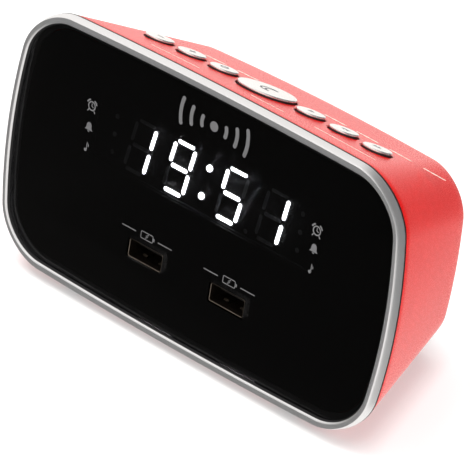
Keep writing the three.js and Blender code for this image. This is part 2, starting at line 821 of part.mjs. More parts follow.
function makeBackupCell() {
  const holderRear = coverInnerY - gap;
  const holderFront = holderRear - holderDepth;
  const halfWidth = hatchWidth / 2 + 1;
  const halfHeight = hatchHeight / 2 + 1;
  const pocketFront = holderRear - cellThickness - 2 * gap;
  const tray = solid(boxBetween(
    [hatchX - halfWidth, holderFront, hatchZ - halfHeight],
    [hatchX + halfWidth, holderRear, hatchZ + halfHeight],
  ));
  const fingerSlot = boxBetween(
    [hatchX - 4, pocketFront, hatchZ + cellRadius - 1],
    [hatchX + 4, holderRear + 1, hatchZ + halfHeight - 0.8],
  );
  const pocket = rodY(cellRadius + gap, hatchX, hatchZ, pocketFront, holderRear + 1, 24);
  piece('battery_holder', cut(tray, pocket, fingerSlot), blackPlastic);

  const cellFront = pocketFront + gap;
  piece('backup_cell', united(
    rodY(cellRadius, hatchX, hatchZ, cellFront + 0.6, cellFront + cellThickness, 24),
    rodY(cellRadius - 1.2, hatchX, hatchZ, cellFront, cellFront + 1, 24),
  ), bareSteel);

  const doorTop = hatchZ + hatchHeight / 2 - gap;
  const door = solid(boxBetween(
    [hatchX - hatchWidth / 2 + gap, coverOuterY - hatchThickness, hatchZ - hatchHeight / 2 + gap],
    [hatchX + hatchWidth / 2 - gap, coverOuterY, doorTop],
  ));
  const thumbNotch = rodY(3.2, hatchX, doorTop, coverOuterY - 0.8, coverOuterY + 1);
  piece('battery_door', cut(door, thumbNotch), blackPlastic);
}

function makeInlets() {
  const nozzleEnd = coverFaceY(jackZ, coverInnerY) + 0.6;
  const bodyRear = nozzleEnd - 2.4;
  const boreEnd = nozzleEnd - 11.4;
  const half = jackWidth / 2;
  const bottom = mainBoardTop + gap;
  const body = united(
    boxBetween(
      [jackX - half, bodyRear - jackLength, bottom], [jackX + half, bodyRear, bottom + jackHeight],
    ),
    rodY(jackNozzleRadius, jackX, jackZ, bodyRear - 1, nozzleEnd, 24),
  );
  const bore = rodY(jackBoreRadius, jackX, jackZ, boreEnd, nozzleEnd + 1, 24);
  piece('dc_jack', cut(body, bore), blackPlastic, radio);
  const pinEnd = nozzleEnd - jackPinRecess;
  piece('dc_pin', rodY(jackPinRadius, jackX, jackZ, boreEnd + gap, pinEnd, 16), bareSteel, radio);

  const lip = 0.8;
  const lipRadius = grommetHoleRadius + 0.8;
  const neck = grommetHoleRadius - gap;
  const grommet = [
    [grommetWireRadius, coverInnerY - gap - lip], [lipRadius, coverInnerY - gap - lip],
    [lipRadius, coverInnerY - gap], [neck, coverInnerY - gap],
    [neck, coverOuterY + 0.2], [lipRadius, coverOuterY + 0.2],
    [lipRadius, bodyDepth], [grommetWireRadius, bodyDepth],
  ];
  piece('antenna_grommet', turned(grommet, 16).translate(grommetX, 0, grommetZ), blackRubber);
}

// ---- Main board and feet ------------------------------------------------------------------

function makeMainBoard() {
  const board = solid(boxBetween(
    [mainBoardX - mainBoardHalfWidth, mainBoardFront, mainBoardBottom],
    [mainBoardX + mainBoardHalfWidth, mainBoardRear, mainBoardTop],
  ));
  const holes = mainPosts.map(([x, y]) => (
    rodZ(screwShankRadius + gap, x, y, mainBoardBottom - 1, mainBoardTop + 1, 12)
  ));
  piece('main_pcb', cut(board, ...holes), boardGreen, radio);

  for (const [index, [x, y]] of mainPosts.entries()) {
    const screw = upright(screwGeometry(0, boardScrewLength));
    screw.translate(x, y, mainBoardTop + gap + screwHeadHeight);
    piece(`board_screw_${index + 1}`, screw, bareSteel, radio);
  }

  const seat = mainBoardTop + gap;
  const left = mainBoardX - mainBoardHalfWidth;
  const shieldAt = [left + 3, mainBoardFront + 9];
  piece('tuner_shield', boxBetween(
    [...shieldAt, seat],
    [shieldAt[0] + shieldLength, shieldAt[1] + shieldWidth, seat + shieldHeight],
  ), bareSteel, radio);
  const chipAt = [left + 12, mainBoardFront + 1];
  piece('control_chip', boxBetween(
    [...chipAt, seat], [chipAt[0] + chipLength, chipAt[1] + chipWidth, seat + chipHeight],
  ), blackPlastic, radio);
  for (const [index, x] of [left + 27, left + 35].entries()) {
    const y = mainBoardFront + 4.5;
    const can = rodZ(capacitorRadius, x, y, seat, seat + capacitorHeight);
    piece(`capacitor_${index + 1}`, can, blackPlastic, radio);
  }
}

function makeFeet() {
  for (const [name, x, y] of feet) {
    piece(name, rodZ(footRadius, x, y, floorZ, floorZ + footHeight), blackRubber, radio);
  }
}

makeBezel();
makeWindow();
makeDisplay();
makeSocket('left', -socketX);
makeSocket('right', socketX);
makeHousing();
makeButtons();
makeKeyBoard();
makeRearCover();
makeSpeaker();
makeBackupCell();
makeInlets();
makeMainBoard();
makeFeet();

// ---- Origin: middle of the footprint, at the feet's undersides ------------------------------

const frontY = -bezelProud * Math.cos(leanAngle) - bezelFront.halfHeight * Math.sin(leanAngle);
const rearRimTop = rearTop - 0.9 * rearRound;
const rearY = bodyDepth * Math.cos(leanAngle) + rearRimTop * Math.sin(leanAngle);
radio.position.set(0, -(frontY + rearY) / 2, -floorZ);

export default radio;
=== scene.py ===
"""Looks of the clock radio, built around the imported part."""

import json
import math

import bmesh
import bpy
from mathutils import Matrix, Vector


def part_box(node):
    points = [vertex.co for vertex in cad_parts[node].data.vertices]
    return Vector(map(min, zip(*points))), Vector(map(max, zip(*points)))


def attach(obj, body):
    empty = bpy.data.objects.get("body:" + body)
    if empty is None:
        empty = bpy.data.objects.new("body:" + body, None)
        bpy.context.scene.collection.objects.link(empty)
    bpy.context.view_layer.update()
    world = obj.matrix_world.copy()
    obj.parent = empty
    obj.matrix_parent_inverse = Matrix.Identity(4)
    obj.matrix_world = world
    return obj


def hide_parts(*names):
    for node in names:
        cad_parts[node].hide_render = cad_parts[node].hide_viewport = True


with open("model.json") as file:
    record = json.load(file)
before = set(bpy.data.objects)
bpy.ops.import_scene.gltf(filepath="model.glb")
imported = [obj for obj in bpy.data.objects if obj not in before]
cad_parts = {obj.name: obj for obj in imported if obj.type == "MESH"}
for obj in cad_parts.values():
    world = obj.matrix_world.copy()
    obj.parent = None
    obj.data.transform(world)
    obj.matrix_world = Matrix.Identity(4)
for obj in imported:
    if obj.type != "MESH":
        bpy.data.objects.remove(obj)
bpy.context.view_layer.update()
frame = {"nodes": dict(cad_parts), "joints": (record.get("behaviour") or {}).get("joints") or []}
nodes = frame["nodes"]

# ---- Face frame: middle of the window's front, X right, Y into the case, Z up the window ---------

travel = next(j for j in frame["joints"] if j["name"] == "speaker_cone_travel")
AXIS_X = Vector((1, 0, 0))
AXIS_Y = Vector(travel["axis"]).normalized()
AXIS_Z = AXIS_X.cross(AXIS_Y)
lens_y = min(v.co.dot(AXIS_Y) for v in nodes["front_lens"].data.vertices)
lens_z = [v.co.dot(AXIS_Z) for v in nodes["front_lens"].data.vertices]
ORIGIN = AXIS_Y * lens_y + AXIS_Z * (min(lens_z) + max(lens_z)) / 2


def face_point(x, y, z):
    return ORIGIN + (AXIS_X * x + AXIS_Y * y + AXIS_Z * z) * 0.001


def span(name):
    """Box of a CAD node in the face frame, in millimetres: (low, high) for x, y and z."""
    spread = []
    for axis in (AXIS_X, AXIS_Y, AXIS_Z):
        values = [(v.co - ORIGIN).dot(axis) * 1000 for v in nodes[name].data.vertices]
        spread.append((min(values), max(values)))
    return spread


def middle(pair):
    return (pair[0] + pair[1]) / 2


def extent(pair):
    return pair[1] - pair[0]


# Ways to place a local (u, v, h) in millimetres.
def on_face(x, z):
    return lambda u, v, h: face_point(x + u, h, z + v)


def level(cx, cy):
    return lambda u, v, h: Vector((cx + u, cy + v, h)) * 0.001


def level_box(name):
    """Box of a CAD node in millimetres of the object's own axes: (low, high) for x, y and z."""
    return [(a * 1000, b * 1000) for a, b in zip(*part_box(name))]


# ---- Case outlines, as in the part ---------------------------------------------------------------

CORNER, SIDE, TOP = 20, 8, 16  # steps of an outline round a corner, half a side and half the top
BODY_FRONT, BODY_DEPTH, WALL = 1.8, 49.0, 2.2
TOP_DROP = 15.4  # how far the top falls from front to rear
LEAN = math.radians(11)
KEYS = ("w", "h", "r", "sb", "tb", "lift")


def outline(w, h, r, sb, tb, lift=0.0):
    """Half width and height, corner radius, bulge of the sides and of the top, height of the middle."""
    return dict(zip(KEYS, (w, h, r, sb, tb, lift)))


def grow(o, by):
    return outline(o["w"] + by, o["h"] + by, max(o["r"] + by, 0.5), o["sb"], o["tb"], o["lift"])


def mix(a, b, share):
    return {k: a[k] + (b[k] - a[k]) * share for k in KEYS}


def ring(o, y):
    """Points of an outline, counter-clockwise from the middle of the right side."""
    w, h, r = o["w"], o["h"], o["r"]
    side_x = lambda z: -o["sb"] * (z / h) ** 2
    top_z = lambda x: -o["tb"] * (x / w) ** 2
    corner = []
    for i in range(CORNER + 1):
        turn = math.pi / 2 * i / CORNER
        ax, az = w - r + r * math.cos(turn), h - r + r * math.sin(turn)
        x, z = ax, az
        for _ in range(8):
            x, z = ax + side_x(z), az + top_z(x)
        corner.append((x, z))
    side = [(w + side_x(corner[0][1] * i / SIDE), corner[0][1] * i / SIDE) for i in range(SIDE)]
    top = [(corner[-1][0] * i / TOP, h + top_z(corner[-1][0] * i / TOP)) for i in range(TOP - 1, -1, -1)]
    quarter = side + corner + top
    upper = quarter + [(-x, z) for x, z in reversed(quarter[:-1])]
    lower = [(x, -z) for x, z in reversed(upper[1:-1])]
    return [(x, y, z + o["lift"]) for x, z in upper + lower]


def at(o, y):
    return [face_point(*p) for p in ring(o, y)]


window = outline(71.0, 37.8, 12.5, 4.5, 1.6)
bezel_front = outline(72.65, 39.95, 14.15, 5.0, 1.6)
bezel_rear = outline(73.8, 40.7, 14.9, 5.5, 1.6)
rear_top = bezel_rear["h"] - TOP_DROP
rear_bottom = -bezel_rear["h"] + (BODY_DEPTH - BODY_FRONT) * math.tan(LEAN)
body_rear = outline(
    bezel_rear["w"] - 17.7, (rear_top - rear_bottom) / 2, 12.6, 2.1, 1.6, (rear_top + rear_bottom) / 2
)


def outer_at(y):
    return mix(bezel_rear, body_rear, (y - BODY_FRONT) / (BODY_DEPTH - BODY_FRONT))


def inner_at(y):
    return grow(outer_at(y), -WALL)


def top_surface(x, y):
    o = outer_at(y)
    return o["lift"] + o["h"] - o["tb"] * (x / o["w"]) ** 2


ROW_Y = 21.4  # depth of the row of buttons
SLOPE = math.atan2(TOP_DROP, BODY_DEPTH - BODY_FRONT)


def sink_at(x):
    """How far the bulging top lies below its middle at x, along its normal."""
    return (top_surface(0, ROW_Y) - top_surface(x, ROW_Y)) * math.cos(SLOPE)


def on_top(x, sink=None):
    """Local frame on the sloping top at x, with h along its outward normal."""
    sink = sink_at(x) if sink is None else sink

    def place(u, v, h):
        h -= sink
        y = ROW_Y + v * math.cos(SLOPE) + h * math.sin(SLOPE)
        z = top_surface(0, ROW_Y) - v * math.sin(SLOPE) + h * math.cos(SLOPE)
        return face_point(x + u, y, z)

    return place


def on_skin(u, v, h):
    """Plan position (x, y) on the case's top, h above it."""
    return face_point(u, v + h * math.sin(SLOPE), top_surface(u, v) + h * math.cos(SLOPE))


# ---- Mesh building -------------------------------------------------------------------------------

class Shape:
    """Collects closed bodies, already placed in metres."""

    def __init__(self):
        self.points = []
        self.faces = []

    def add(self, points, faces):
        base = len(self.points)
        self.points += points
        self.faces += [[base + i for i in f] for f in faces]
        return self

    def loft(self, rings, closed=False):
        count = len(rings[0])
        points = [p for r in rings for p in r]
        faces = []
        for k in range(len(rings) if closed else len(rings) - 1):
            a, b = k * count, ((k + 1) % len(rings)) * count
            for i in range(count):
                j = (i + 1) % count
                faces.append([a + i, b + i, b + j, a + j])
        if not closed:
            faces += [list(range(count)), list(range((len(rings) - 1) * count, len(rings) * count))]
        return self.add(points, faces)

    def lathe(self, profile, place, steps=48):
        """Turned about the local h axis from (radius, h) pairs that start and end on the axis,
        or close on themselves."""
        solid = profile[0][0] < 1e-6
        rows = profile[1:-1] if solid else profile
        rings = []
        turns = [math.tau * i / steps for i in range(steps)]
        for r, h in rows:
            rings.append([place(r * math.cos(t), r * math.sin(t), h) for t in turns])
        if not solid:
            return self.loft(rings, closed=True)
        points = [p for r in rings for p in r]
        faces = []
        for k in range(len(rings) - 1):
            for i in range(steps):
                j = (i + 1) % steps
                faces.append([k * steps + i, (k + 1) * steps + i, (k + 1) * steps + j, k * steps + j])
        first, last = len(points), len(points) + 1
        points += [place(0, 0, profile[0][1]), place(0, 0, profile[-1][1])]
        end = (len(rings) - 1) * steps
        for i in range(steps):
            j = (i + 1) % steps
            faces += [[first, i, j], [last, end + j, end + i]]
        return self.add(points, faces)

    def rod(self, r, low, high, place, steps=48):
        return self.lathe([(0, low), (r, low), (r, high), (0, high)], place, steps)

    def sections(self, rows):
        """Lofted through (polygon, place, h) rows."""
        return self.loft([[place(u, v, h) for u, v in polygon] for polygon, place, h in rows])

    def prism(self, polygon, place, low, high):
        """A flat polygon of (u, v) given a thickness."""
        return self.sections([(polygon, place, h) for h in (low, high)])

    def stroke(self, path, width, place, low, high, closed=False):
        """A line of constant width, as a thin raised band with rounded ends."""
        half = width / 2
        stations = []
        count = len(path)
        for i, (u, v) in enumerate(path):
            before = path[i - 1] if (i or closed) else path[i]
            after = path[(i + 1) % count] if (i < count - 1 or closed) else path[i]
            du, dv = after[0] - before[0], after[1] - before[1]
            size = math.hypot(du, dv) or 1
            stations.append((u, v, du / size, dv / size, half))

        def cap(station, sign):
            u, v, du, dv, _ = station
            out = []
            for k in range(4):
                a = math.pi / 2 * (k + 0.25) / 4
                reach = sign * half * math.cos(a)
                out.append((u + du * reach, v + dv * reach, du, dv, half * math.sin(a)))
            return out

        if not closed:
            stations = cap(stations[0], -1) + stations + cap(stations[-1], 1)[::-1]
        rings = []
        for u, v, du, dv, w in stations:
            nu, nv = -dv * w, du * w
            rings.append([place(u + nu, v + nv, low), place(u - nu, v - nv, low),
                          place(u - nu, v - nv, high), place(u + nu, v + nv, high)])
        return self.loft(rings, closed=closed)


def rounded(w, h, r, steps=6, cx=0.0, cy=0.0):
    """Rounded rectangle as (u, v) points."""
    points = []
    for k, (sx, sy) in enumerate(((1, 1), (-1, 1), (-1, -1), (1, -1))):
        corner_x, corner_y = cx + sx * (w / 2 - r), cy + sy * (h / 2 - r)
        for i in range(steps + 1):
            a = math.pi / 2 * (k + i / steps)
            points.append((corner_x + r * math.cos(a), corner_y + r * math.sin(a)))
    return points


def arc(r, start, end, steps=24, cx=0.0, cy=0.0):
    turns = [math.radians(start + (end - start) * i / steps) for i in range(steps + 1)]
    return [(cx + r * math.cos(t), cy + r * math.sin(t)) for t in turns]


def disc(r, cx=0.0, cy=0.0, steps=20):
    return arc(r, 0, 360, steps, cx, cy)[:-1]


def mesh_of(shape, name):
    mesh = bpy.data.meshes.new(name)
    mesh.from_pydata([tuple(p) for p in shape.points], [], shape.faces)
    work = bmesh.new()
    work.from_mesh(mesh)
    bmesh.ops.recalc_face_normals(work, faces=work.faces)
    work.to_mesh(mesh)
    work.free()
    return mesh


def made(mesh, name, material, body="housing", slot=None, stands_for=(), angle=32):
    """Shows a finished mesh as a piece that rides on a body."""
    mesh.materials.clear()
    mesh.materials.append(material)
    mesh.shade_smooth()
    mesh.set_sharp_from_angle(angle=math.radians(angle))
    obj = bpy.data.objects.new(name, mesh)
    bpy.context.scene.collection.objects.link(obj)
    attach(obj, body)
    if stands_for:
        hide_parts(*stands_for)
    return obj


def piece(shape, name, material, **how):
    return made(mesh_of(shape, name), name, material, **how)


def combined(shape, name, material, joined=(), cutters=(), **how):
    """A piece made of shape with other closed shapes joined to it and then cut from it."""
    base = bpy.data.objects.new(name + "_base", mesh_of(shape, name + "_base"))
    bpy.context.scene.collection.objects.link(base)
    tools = []
    for operation, group in (("UNION", joined), ("DIFFERENCE", cutters)):
        for i, tool in enumerate(group):
            helper = bpy.data.objects.new(f"{name}_tool", mesh_of(tool, f"{name}_tool"))
            bpy.context.scene.collection.objects.link(helper)
            tools.append(helper)
            step = base.modifiers.new(f"{operation}_{i}", "BOOLEAN")
            step.operation = operation
            step.solver = "MANIFOLD"
            step.object = helper
    bpy.context.view_layer.update()
    result = bpy.data.meshes.new_from_object(base.evaluated_get(bpy.context.evaluated_depsgraph_get()))
    result.name = name
    for helper in tools + [base]:
        old = helper.data
        bpy.data.objects.remove(helper)
        bpy.data.meshes.remove(old)
    return made(result, name, material, **how)


# ---- Materials -----------------------------------------------------------------------------------

def linear(r, g, b):
    to = lambda c: c / 12.92 if c <= 0.04045 else ((c + 0.055) / 1.055) ** 2.4
    return (to(r / 255), to(g / 255), to(b / 255), 1)


def map_range(node, *limits):
    for socket, value in zip(("From Min", "From Max", "To Min", "To Max"), limits):
        node.inputs[socket].default_value = value


def finish(name, colour, rough, shade=0.06, rough_spread=0.06, patch=90, grain=2600, bump=0.05, **sockets):
    """Moulded or painted surface: soft patches of colour, uneven roughness and a fine grain."""
    made_material = bpy.data.materials.new(name)
    made_material.use_nodes = True
    tree = made_material.node_tree
    tree.nodes.clear()
    add, link = tree.nodes.new, tree.links.new
    out, shader = add("ShaderNodeOutputMaterial"), add("ShaderNodeBsdfPrincipled")
    link(shader.outputs["BSDF"], out.inputs["Surface"])
    where = add("ShaderNodeTexCoord")
    wide, fine = add("ShaderNodeTexNoise"), add("ShaderNodeTexNoise")
    for noise, size, detail in ((wide, patch, 4), (fine, grain, 3)):
        noise.inputs["Scale"].default_value = size
        noise.inputs["Detail"].default_value = detail
        link(where.outputs["Object"], noise.inputs["Vector"])
    ramp = add("ShaderNodeValToRGB")
    for stop, position, factor in zip(ramp.color_ramp.elements, (0.35, 0.65), (1 - shade, 1 + shade)):
        stop.position = position
        stop.color = [min(c * factor, 1) for c in colour[:3]] + [1]
    link(wide.outputs["Fac"], ramp.inputs["Fac"])
    link(ramp.outputs["Color"], shader.inputs["Base Color"])
    spread = add("ShaderNodeMapRange")
    map_range(spread, 0.3, 0.7, max(rough - rough_spread, 0.02), rough + rough_spread)
    link(fine.outputs["Fac"], spread.inputs["Value"])
    link(spread.outputs["Result"], shader.inputs["Roughness"])
    relief = add("ShaderNodeBump")
    relief.inputs["Strength"].default_value = bump
    relief.inputs["Distance"].default_value = 0.0001
    link(fine.outputs["Fac"], relief.inputs["Height"])
    link(relief.outputs["Normal"], shader.inputs["Normal"])
    for socket, value in sockets.items():
        shader.inputs[socket.replace("_", " ")].default_value = value
    return made_material


red_case = finish(
    "red_case", linear(226, 16, 14), 0.27, shade=0.025, rough_spread=0.015, grain=3500, bump=0.01,
    Specular_IOR_Level=0.42, Specular_Tint=(1, 0.90, 0.84, 1),
)
silver_bezel = finish(
    "silver_bezel", (0.76, 0.77, 0.78, 1), 0.33, shade=0.01, rough_spread=0.006, grain=3000, bump=0.001,
    Metallic=0.8,
)
smoked_window = finish(
    "smoked_window", (0.15, 0.15, 0.155, 1), 0.03, shade=0.02, rough_spread=0.01, patch=40,
    grain=300, bump=0.0005, Transmission_Weight=1.0, IOR=1.49, Specular_IOR_Level=0.35,
)
display_block = finish("display_block", (0.006, 0.006, 0.007, 1), 0.6)
unlit_segment = finish("unlit_segment", (0.42, 0.43, 0.44, 1), 0.5, shade=0.1)
lit_segment = finish(
    "lit_segment", (0.8, 0.82, 0.85, 1), 0.4, Emission_Color=(0.93, 0.97, 1, 1), Emission_Strength=36.0,
)
window_print = finish("window_print", linear(112, 112, 114), 0.6, shade=0.12, grain=5000)
silver_buttons = finish(
    "silver_buttons", (0.86, 0.86, 0.85, 1), 0.24, shade=0.03, rough_spread=0.02, bump=0.01, Metallic=0.75,
)
button_print = finish("button_print", linear(96, 98, 102), 0.55, shade=0.1)
case_print = finish("case_print", linear(246, 226, 214), 0.5, shade=0.06)
socket_steel = finish("socket_steel", (0.20, 0.17, 0.14, 1), 0.34, shade=0.2, patch=500, Metallic=1.0)
steel = finish("steel", (0.55, 0.55, 0.56, 1), 0.28, shade=0.08, patch=400, Metallic=1.0)
socket_insert = finish("socket_insert", (0.012, 0.012, 0.013, 1), 0.5)
black_plastic = finish("black_plastic", (0.016, 0.016, 0.017, 1), 0.52, shade=0.2, grain=1800, bump=0.35)
rubber = finish("rubber", (0.011, 0.011, 0.011, 1), 0.82, shade=0.25, grain=1500, bump=0.3)
paper_cone = finish("paper_cone", (0.03, 0.028, 0.026, 1), 0.9, shade=0.3, patch=700, grain=2200, bump=0.6)
ferrite = finish("ferrite", (0.05, 0.05, 0.055, 1), 0.55, shade=0.2, grain=1200, bump=0.3)
gilt = finish("gilt", (0.80, 0.42, 0.14, 1), 0.25, shade=0.08, patch=500, Metallic=1.0)
pcb_green = finish("pcb_green", (0.012, 0.10, 0.045, 1), 0.38, shade=0.35, patch=420, grain=2500, bump=0.1)

# ---- Bezel ---------------------------------------------------------------------------------------

BEZEL_FRONT, BEZEL_BACK = -1.35, 1.5
LIP_FRONT, LIP_BACK = 2.3, 4.3  # rim inside the case that holds the window
POST_X, POST_RADIUS = 62.0, 2.6
SCREW_HOLE = 1.5
CLEAR = 0.3  # gap between neighbouring parts
opening = grow(window, CLEAR)


def between(share, y):
    """Ring on the bezel's outer side, at a share of the way from front to rear outline."""
    return at(mix(bezel_front, bezel_rear, share), y)


bezel = Shape().loft([
    at(opening, -0.85), at(grow(window, 0.33), -0.9), at(grow(window, 0.72), -1.31),
    at(grow(window, 0.8), BEZEL_FRONT), between(0.1, BEZEL_FRONT), between(0.15, -1.33),
    between(0.34, -1.1), between(0.48, -0.8), between(0.54, -0.65), at(bezel_rear, 0.95),
    at(bezel_rear, 1.38), at(grow(bezel_rear, -0.12), BEZEL_BACK),
    at(grow(inner_at(BEZEL_BACK), -CLEAR), BEZEL_BACK), at(grow(inner_at(LIP_BACK), -CLEAR), LIP_BACK),
    at(grow(window, -1.8), LIP_BACK), at(grow(window, -1.8), LIP_FRONT), at(opening, LIP_FRONT),
], closed=True)
post_end = span("display_pcb")[1][0] - CLEAR
posts, post_holes = [], []
for side in (-1, 1):
    x, lip_x = side * POST_X, side * 69.7
    posts.append(Shape().rod(POST_RADIUS, LIP_FRONT, post_end, on_face(x, 0)))
    web = [(x - 0.4, -1), (lip_x, -1), (lip_x, 1), (x - 0.4, 1)]
    posts.append(Shape().prism(web, on_face(0, 0), LIP_FRONT, LIP_BACK))
    post_holes.append(Shape().rod(SCREW_HOLE, LIP_BACK, post_end + 1, on_face(x, 0)))
combined(bezel, "bezel_trim", silver_bezel, posts, post_holes,
         slot="silver_bezel", stands_for=["bezel_ring"], angle=24)

# Black gasket between the bezel's bevel and the window.
gasket = Shape().loft([
    at(grow(window, 0.28), -0.82), at(grow(window, 0.28), -0.03),
    at(grow(window, -0.1), -0.03), at(grow(window, -0.1), -0.3),
], closed=True)
piece(gasket, "window_gasket", display_block, slot="black_plastic")

# Black band that fills the gap between the bezel and the case: painted shade of that gap.
gap_shade_outer, gap_shade_inner = grow(outer_at(1.55), -0.12), grow(inner_at(1.55), 0.1)
gap_shade_band = Shape().loft([
    at(gap_shade_outer, 1.54), at(gap_shade_outer, 2.0), at(gap_shade_inner, 2.0), at(gap_shade_inner, 1.54),
], closed=True)
piece(gap_shade_band, "case_gap_shade", rubber, slot="black_plastic")

# ---- Window and what is printed on it ------------------------------------------------------------

sockets = [span("usb_shell_left"), span("usb_shell_right")]


def socket_openings(low, high):
    return [Shape().prism(rounded(extent(box[0]) + 0.5, extent(box[2]) + 0.5, 0.7),
                          on_face(middle(box[0]), middle(box[2])), low, high) for box in sockets]


lens = Shape().loft([
    at(grow(window, -0.12), 0.0), at(grow(window, -0.03), 0.04), at(window, 0.14),
    at(window, 1.9), at(grow(window, -0.1), 2.0),
])
combined(lens, "window_lens", smoked_window, (), socket_openings(-1, 4),
         slot="smoked_window", stands_for=["front_lens"], angle=24)

INK = (-0.05, -0.01)  # print on the window's front


def alarm_clock(shape, place, s):
    shape.stroke(arc(1.15 * s, 0, 360)[:-1], 0.34 * s, place, *INK, closed=True)
    shape.stroke([(0, 0.62 * s), (0, 0), (0.5 * s, -0.25 * s)], 0.26 * s, place, *INK)
    for k in (-1, 1):
        shape.stroke(arc(1.75 * s, 90 - k * 28, 90 - k * 62, 8), 0.42 * s, place, *INK)
        shape.stroke([(k * 0.95 * s, -1.15 * s), (k * 1.25 * s, -1.6 * s)], 0.3 * s, place, *INK)


def bell(shape, place, s):
    half = [(0.28, 1.55), (0.62, 1.35), (0.9, 0.95), (1.0, 0.3), (1.1, -0.35), (1.55, -0.95)]
    body = [(u * s, v * s) for u, v in half] + [(-u * s, v * s) for u, v in reversed(half)]
    shape.prism(body, place, *INK)
    shape.prism(arc(0.42 * s, 180, 360, 8, 0, -1.1 * s), place, *INK)


def note(shape, place, s):
    shape.prism(disc(0.52 * s, -0.2 * s, -1.1 * s, 14), place, *INK)
    tail = [(0.22, -1.0), (0.22, 1.5), (0.75, 0.8), (0.85, 0.2)]
    shape.stroke([(u * s, v * s) for u, v in tail], 0.28 * s, place, *INK)


printed = Shape()
for x, heights in ((-43.15, (16.8, 10.3, 4.3)), (43.15, (15.2, 9.7, 3.8))):
    for (drawing, scale), z in zip(((alarm_clock, 1.12), (bell, 0.95), (note, 0.95)), heights):
        drawing(printed, on_face(x, z), scale)

# Radio waves to each side of a dot, and a charging battery above each socket.
waves = on_face(2.0, 29.2)
printed.prism(disc(1.5, steps=28), waves, *INK)
for k in (0, 180):
    for reach in (4.6, 8.6, 12.6):
        printed.stroke(arc(reach, k - 17, k + 17, 20), 1.25, waves, *INK)
for x in (-15.9, 15.9):
    cell = on_face(x, -12.5)
    printed.stroke(rounded(4.6, 2.1, 0.35, 3), 0.24, cell, *INK, closed=True)
    printed.prism([(2.5, -0.45), (2.95, -0.45), (2.95, 0.45), (2.5, 0.45)], cell, *INK)
    printed.stroke([(0.5, 0.62), (-0.35, 0.02), (0.35, -0.02), (-0.5, -0.62)], 0.26, cell, *INK)
    for k in (-1, 1):
        printed.stroke([(k * 4.4, 0), (k * 9.6, 0)], 0.3, cell, *INK)
piece(printed, "window_marks", window_print, slot="window_print")

# Black mask behind the window, open only at the display.
mask_rings = [at(grow(window, -2.2), 2.03), at(grow(window, -2.2), 2.18)]
mask_cuts = [Shape().prism(rounded(85.0, 18.6, 1.0), on_face(0, 10.5), 1, 4)] + socket_openings(1, 4)
combined(Shape().loft(mask_rings), "window_mask", display_block, (), mask_cuts,
         slot="display_block", angle=24)

# ---- Display -------------------------------------------------------------------------------------

block = span("led_display")
block_front, block_rear = block[1]
FLOOR = block_front + 0.6  # floor of the display's recess
FLUSH = FLOOR - 0.01
LIT_FRONT, UNLIT_FRONT = FLOOR - 0.18, FLOOR - 0.08
DIGIT_Z = middle(block[2])
centre = on_face(0, DIGIT_Z)


def plate(inset, radius, y):
    outline_points = rounded(extent(block[0]) - inset, extent(block[2]) - inset, radius)
    return [centre(u, v, y) for u, v in outline_points]


display = Shape().loft([
    plate(1.6, 1.0, FLOOR), plate(1.6, 1.0, FLOOR - 0.5), plate(1.3, 1.1, block_front),
    plate(0.4, 1.4, block_front), plate(0, 1.5, block_front + 0.25), plate(0, 1.5, block_rear),
])
piece(display, "display_body", display_block, slot="display_block", stands_for=["led_display"])

LEANING = 0.169  # sideways shift of a figure for each millimetre of height
WIDE, TALL = 3.72, 7.8  # half the width and height of a figure
STROKE, STROKE_RUN = 1.18, 4.9  # width and straight length of a segment
SEGMENTS = {
    "a": ((-1, 1), (1, 1)), "b": ((1, 1), (1, 0)), "c": ((1, 0), (1, -1)), "d": ((-1, -1), (1, -1)),
    "e": ((-1, 0), (-1, -1)), "f": ((-1, 1), (-1, 0)), "g": ((-1, 0), (1, 0)),
}
SHOWN = {"1": "bc", "5": "acdfg", "9": "abcdfg"}
DIGITS = ((-25.05, "1"), (-10.0, "9"), (9.9, "5"), (25.05, "1"))
lit, unlit = Shape(), Shape()


def slanted(u, v):
    return u + v * LEANING, v


def digit(x, figure):
    for name, (start, end) in SEGMENTS.items():
        a = (start[0] * WIDE, start[1] * TALL)
        b = (end[0] * WIDE, end[1] * TALL)
        length = math.dist(a, b)
        trim = (length - STROKE_RUN) / 2 / length
        p = tuple(a[i] + (b[i] - a[i]) * trim for i in (0, 1))
        q = tuple(b[i] + (a[i] - b[i]) * trim for i in (0, 1))
        target, front = (lit, LIT_FRONT) if name in SHOWN[figure] else (unlit, UNLIT_FRONT)
        target.stroke([slanted(*p), slanted(*q)], STROKE, on_face(x, DIGIT_Z), front, FLUSH)


for x, figure in DIGITS:
    digit(x, figure)
for v in (-4.5, 4.5):
    lit.prism([slanted(a, b + v) for a, b in disc(1.08, steps=24)], centre, LIT_FRONT, FLUSH)
for x in (-35.2, 35.2):
    for v in (-5.4, 0, 5.4):
        unlit.prism(disc(0.75, x, v), centre, UNLIT_FRONT, FLUSH)
unlit.prism(disc(0.7, 16.5, 2.6 - DIGIT_Z), centre, UNLIT_FRONT, FLUSH)
piece(lit, "display_lit", lit_segment, slot="display_light")
piece(unlit, "display_unlit", unlit_segment, slot="display_light")

# ---- Charging sockets ----------------------------------------------------------------------------

